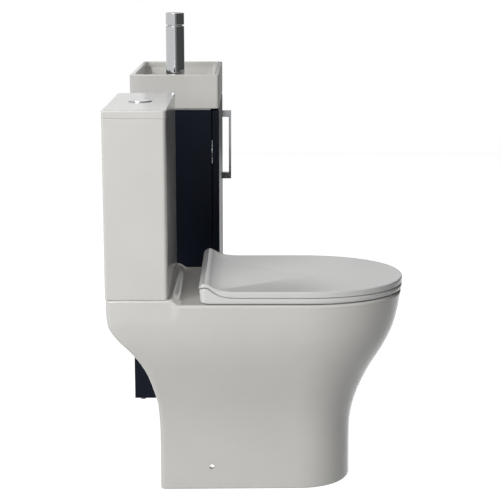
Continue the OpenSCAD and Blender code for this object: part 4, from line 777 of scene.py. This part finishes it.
# --- Tap ---------------------------------------------------------------------------------------------
# Turned brass, chrome plated: a straight body with a round spout over the bowl, and a head of the same
# width that turns and lifts on its stem. A thin dark groove parts the two.
TAP_AT = np.array([TAP_X, MIDDLE_Y])
TAP_R, LEDGE_Z, BODY_TOP, SPOUT_Z, OUTLET_X = 22, 792, 913, 872, 59


def pointing(shaft, z, sides):
    """Rings of a round shaft over the bowl, level at z, through its (radius, x) pairs."""
    c, s = arc(0, 360 * (1 - 1 / sides), sides)
    return [np.column_stack([np.full(sides, x), MIDDLE_Y + r * c, z + r * s])[::-1] for r, x in shaft]


c, s = arc(0, 90, 5)
profile = [(1, LEDGE_Z)] + [(TAP_R - 0.6 * (1 - b), LEDGE_Z + 0.6 * (1 - a)) for a, b in zip(c, s)]
profile += [(TAP_R - 1 * (1 - a), BODY_TOP - 1 + b) for a, b in zip(c, s)] + [(1, BODY_TOP)]
tap = shape("tap_body_plated", skin(turned(profile, TAP_AT)), VANITY_X)
spout = [(13, TAP_X)] + [(13 - 2 * (1 - b), 48 - 2 * a) for a, b in zip(*arc(90, 0, 6))]
carved(tap, VANITY_X, [
    ("UNION", skin(pointing(spout, SPOUT_Z, 64))),
    ("UNION", upright(12.5, OUTLET_X, MIDDLE_Y, 854, SPOUT_Z)),
    ("DIFFERENCE", bar(7, (57, MIDDLE_Y, SPOUT_Z), (TAP_X, MIDDLE_Y, SPOUT_Z), 32)),
    ("DIFFERENCE", upright(10.6, OUTLET_X, MIDDLE_Y, 853, 862)),
    ("DIFFERENCE", upright(6, OUTLET_X, MIDDLE_Y, 859, SPOUT_Z, 32)),
    ("DIFFERENCE", upright(17.1, TAP_X, MIDDLE_Y, 881, 914)),
    ("DIFFERENCE", upright(9, TAP_X, MIDDLE_Y, 868, 882, 32)),
    ("DIFFERENCE", upright(3.1, TAP_X + 9, MIDDLE_Y, 791, 806, 32)),
    *[("DIFFERENCE", upright(5, TAP_X - 5, MIDDLE_Y + side, 791, 808, 32)) for side in (-8, 8)]])
finished(tap, chrome)
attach(tap, "set")
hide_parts("tap_body")

HEAD_Z, HEAD_TOP, LEVER_Z = 916, 944, 928
profile = [(1, HEAD_Z)] + [(TAP_R - 0.8 * (1 - b), HEAD_Z + 0.8 * (1 - a)) for a, b in zip(c, s)]
profile += [(TAP_R - 1.2 * (1 - a), HEAD_TOP - 1.2 * (1 - b)) for a, b in zip(c, s)] + [(1, HEAD_TOP)]
head = shape("tap_head_plated", skin(turned(profile, TAP_AT)), VANITY_X)
lever = [(4.5, TAP_X)] + [(4.5 - 1 * (1 - b), 91 - 1 * a) for a, b in zip(*arc(90, 0, 5))]
carved(head, VANITY_X, [
    ("UNION", skin(pointing(lever, LEVER_Z, 48))),
    ("DIFFERENCE", slab((TAP_X + 10.5, TAP_X + 20.2), (101, 110), (915, LEVER_Z))),
    ("DIFFERENCE", bar(2.05, (TAP_X + 17, 97, 922), (TAP_X + 17, 114, 922), 24))])
finished(head, chrome)
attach(head, "tap_head")
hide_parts("tap_head")
repaint(chrome, "tap_stem")
repaint(grey_plastic, "tap_cartridge", "tap_aerator")
repaint(steel, "tap_stud", "tap_nut")

# --- Room, light and camera --------------------------------------------------------------------------
# A pale studio floor that runs out to white, soft light from the camera's side and from above, and a
# camera that looks along the front from the toilet's side.
scene = bpy.context.scene
DIRECT_RAYS = ("Is Camera Ray", "Is Glossy Ray", "Is Transmission Ray")


def seen_by(tree, rays):
    """1 for a ray of any of the named kinds, else 0."""
    path, seen = add(tree, "LightPath"), 0.0
    for ray in rays:
        seen = add(tree, "Math", {"operation": "MAXIMUM"}, i0=seen, i1=path.outputs[ray]).outputs[0]
    return seen


def glowing_sheet(name, pale, deep, grain_mm, rays, strength):
    """Matt paper or cloth that also glows at the given strength, but only for the named rays."""
    made, tree, place = finish_named(name)
    sheet = add(tree, "BsdfDiffuse", Color=blend(tree, noise(tree, place, grain_mm), pale, deep))
    lit = add(tree, "Math", {"operation": "MULTIPLY"}, i0=seen_by(tree, rays), i1=strength)
    glow = add(tree, "Emission", Strength=lit.outputs[0])
    both = add(tree, "AddShader", i0=sheet.outputs[0], i1=glow.outputs[0])
    add(tree, "OutputMaterial", Surface=both.outputs[0])
    return made


sheet_plan = np.array([[-6000, -6000, -1], [6000, -6000, -1], [6000, 6000, -1], [-6000, 6000, -1]], float)
floor = shape("floor", (sheet_plan, [[0, 1, 2, 3]]), 0.0)
# White wherever it is seen, with the object's shadow left in it
floor.data.materials.append(glowing_sheet("Matt_white_paper", "#B0B0B0", "#B4B4B4", 10, DIRECT_RAYS, 0.95))

# Three cloth screens that the camera doesn't see: a dark one in front of the set, and mid grey ones past the
# vanity and behind the camera. Faces that look forward, and the chrome, mirror them and darken.
for name, hue, sheen, x, y, z in (
        ("dark_screen", "#303030", 0.09, (-4500, 5000), (2750, 2780), (0, 3000)),
        ("back_screen", "#808080", 0.22, (5000, 5030), (650, 2780), (0, 3000)),
        ("grey_screen", "#808080", 0.24, (-4530, -4500), (-300, 2780), (0, 1250))):
    screen = shape(name, slab(x, y, z), 0.0)
    screen.data.materials.append(glowing_sheet(name + "_cloth", hue, "#383838", 4, ("Is Glossy Ray",), sheen))
    screen.visible_camera = False

world = bpy.data.worlds.new("Studio")
scene.world = world
world.use_nodes = True
tree = world.node_tree
tree.nodes.clear()
fill = add(tree, "Background", Color=(1, 1, 1, 1), Strength=0.17)
white = add(tree, "Background", Color=(1, 1, 1, 1), Strength=1.0)
mixed = add(tree, "MixShader", Fac=seen_by(tree, DIRECT_RAYS), i1=fill.outputs[0], i2=white.outputs[0])
add(tree, "OutputWorld", Surface=mixed.outputs[0])

# A broad key above and to the left of the camera, and a weak panel overhead
for name, size, power, place, aim in (
        ("key", 2.2, 106, (-3.2, 1.5, 2.1), np.array([3.0, -1.4, -1.7])),
        ("ceiling", 2.6, 9, (0.2, 0.2, 3.2), np.array([0, 0.001, -1]))):
    data = bpy.data.lights.new(name, "AREA")
    data.size, data.energy = size, power
    lamp = bpy.data.objects.new(name, data)
    scene.collection.objects.link(lamp)
    lamp.location = place
    lamp.rotation_euler = (math.acos(-aim[2] / np.linalg.norm(aim)), 0, math.atan2(-aim[0], aim[1]))

# Solved from the photograph's edges: square to the toilet's side, and turned down by the given angle
PITCH_DOWN = 0.208
data = bpy.data.cameras.new("camera")
data.lens, data.sensor_width = 99.74, 36.0
camera = bpy.data.objects.new("camera", data)
camera.location = (-3.17235, 0.0152, 1.0724)
camera.rotation_euler = (math.pi / 2 - PITCH_DOWN, 0, -math.pi / 2)
scene.collection.objects.link(camera)
scene.camera = camera
scene.view_settings.view_transform = "Standard"
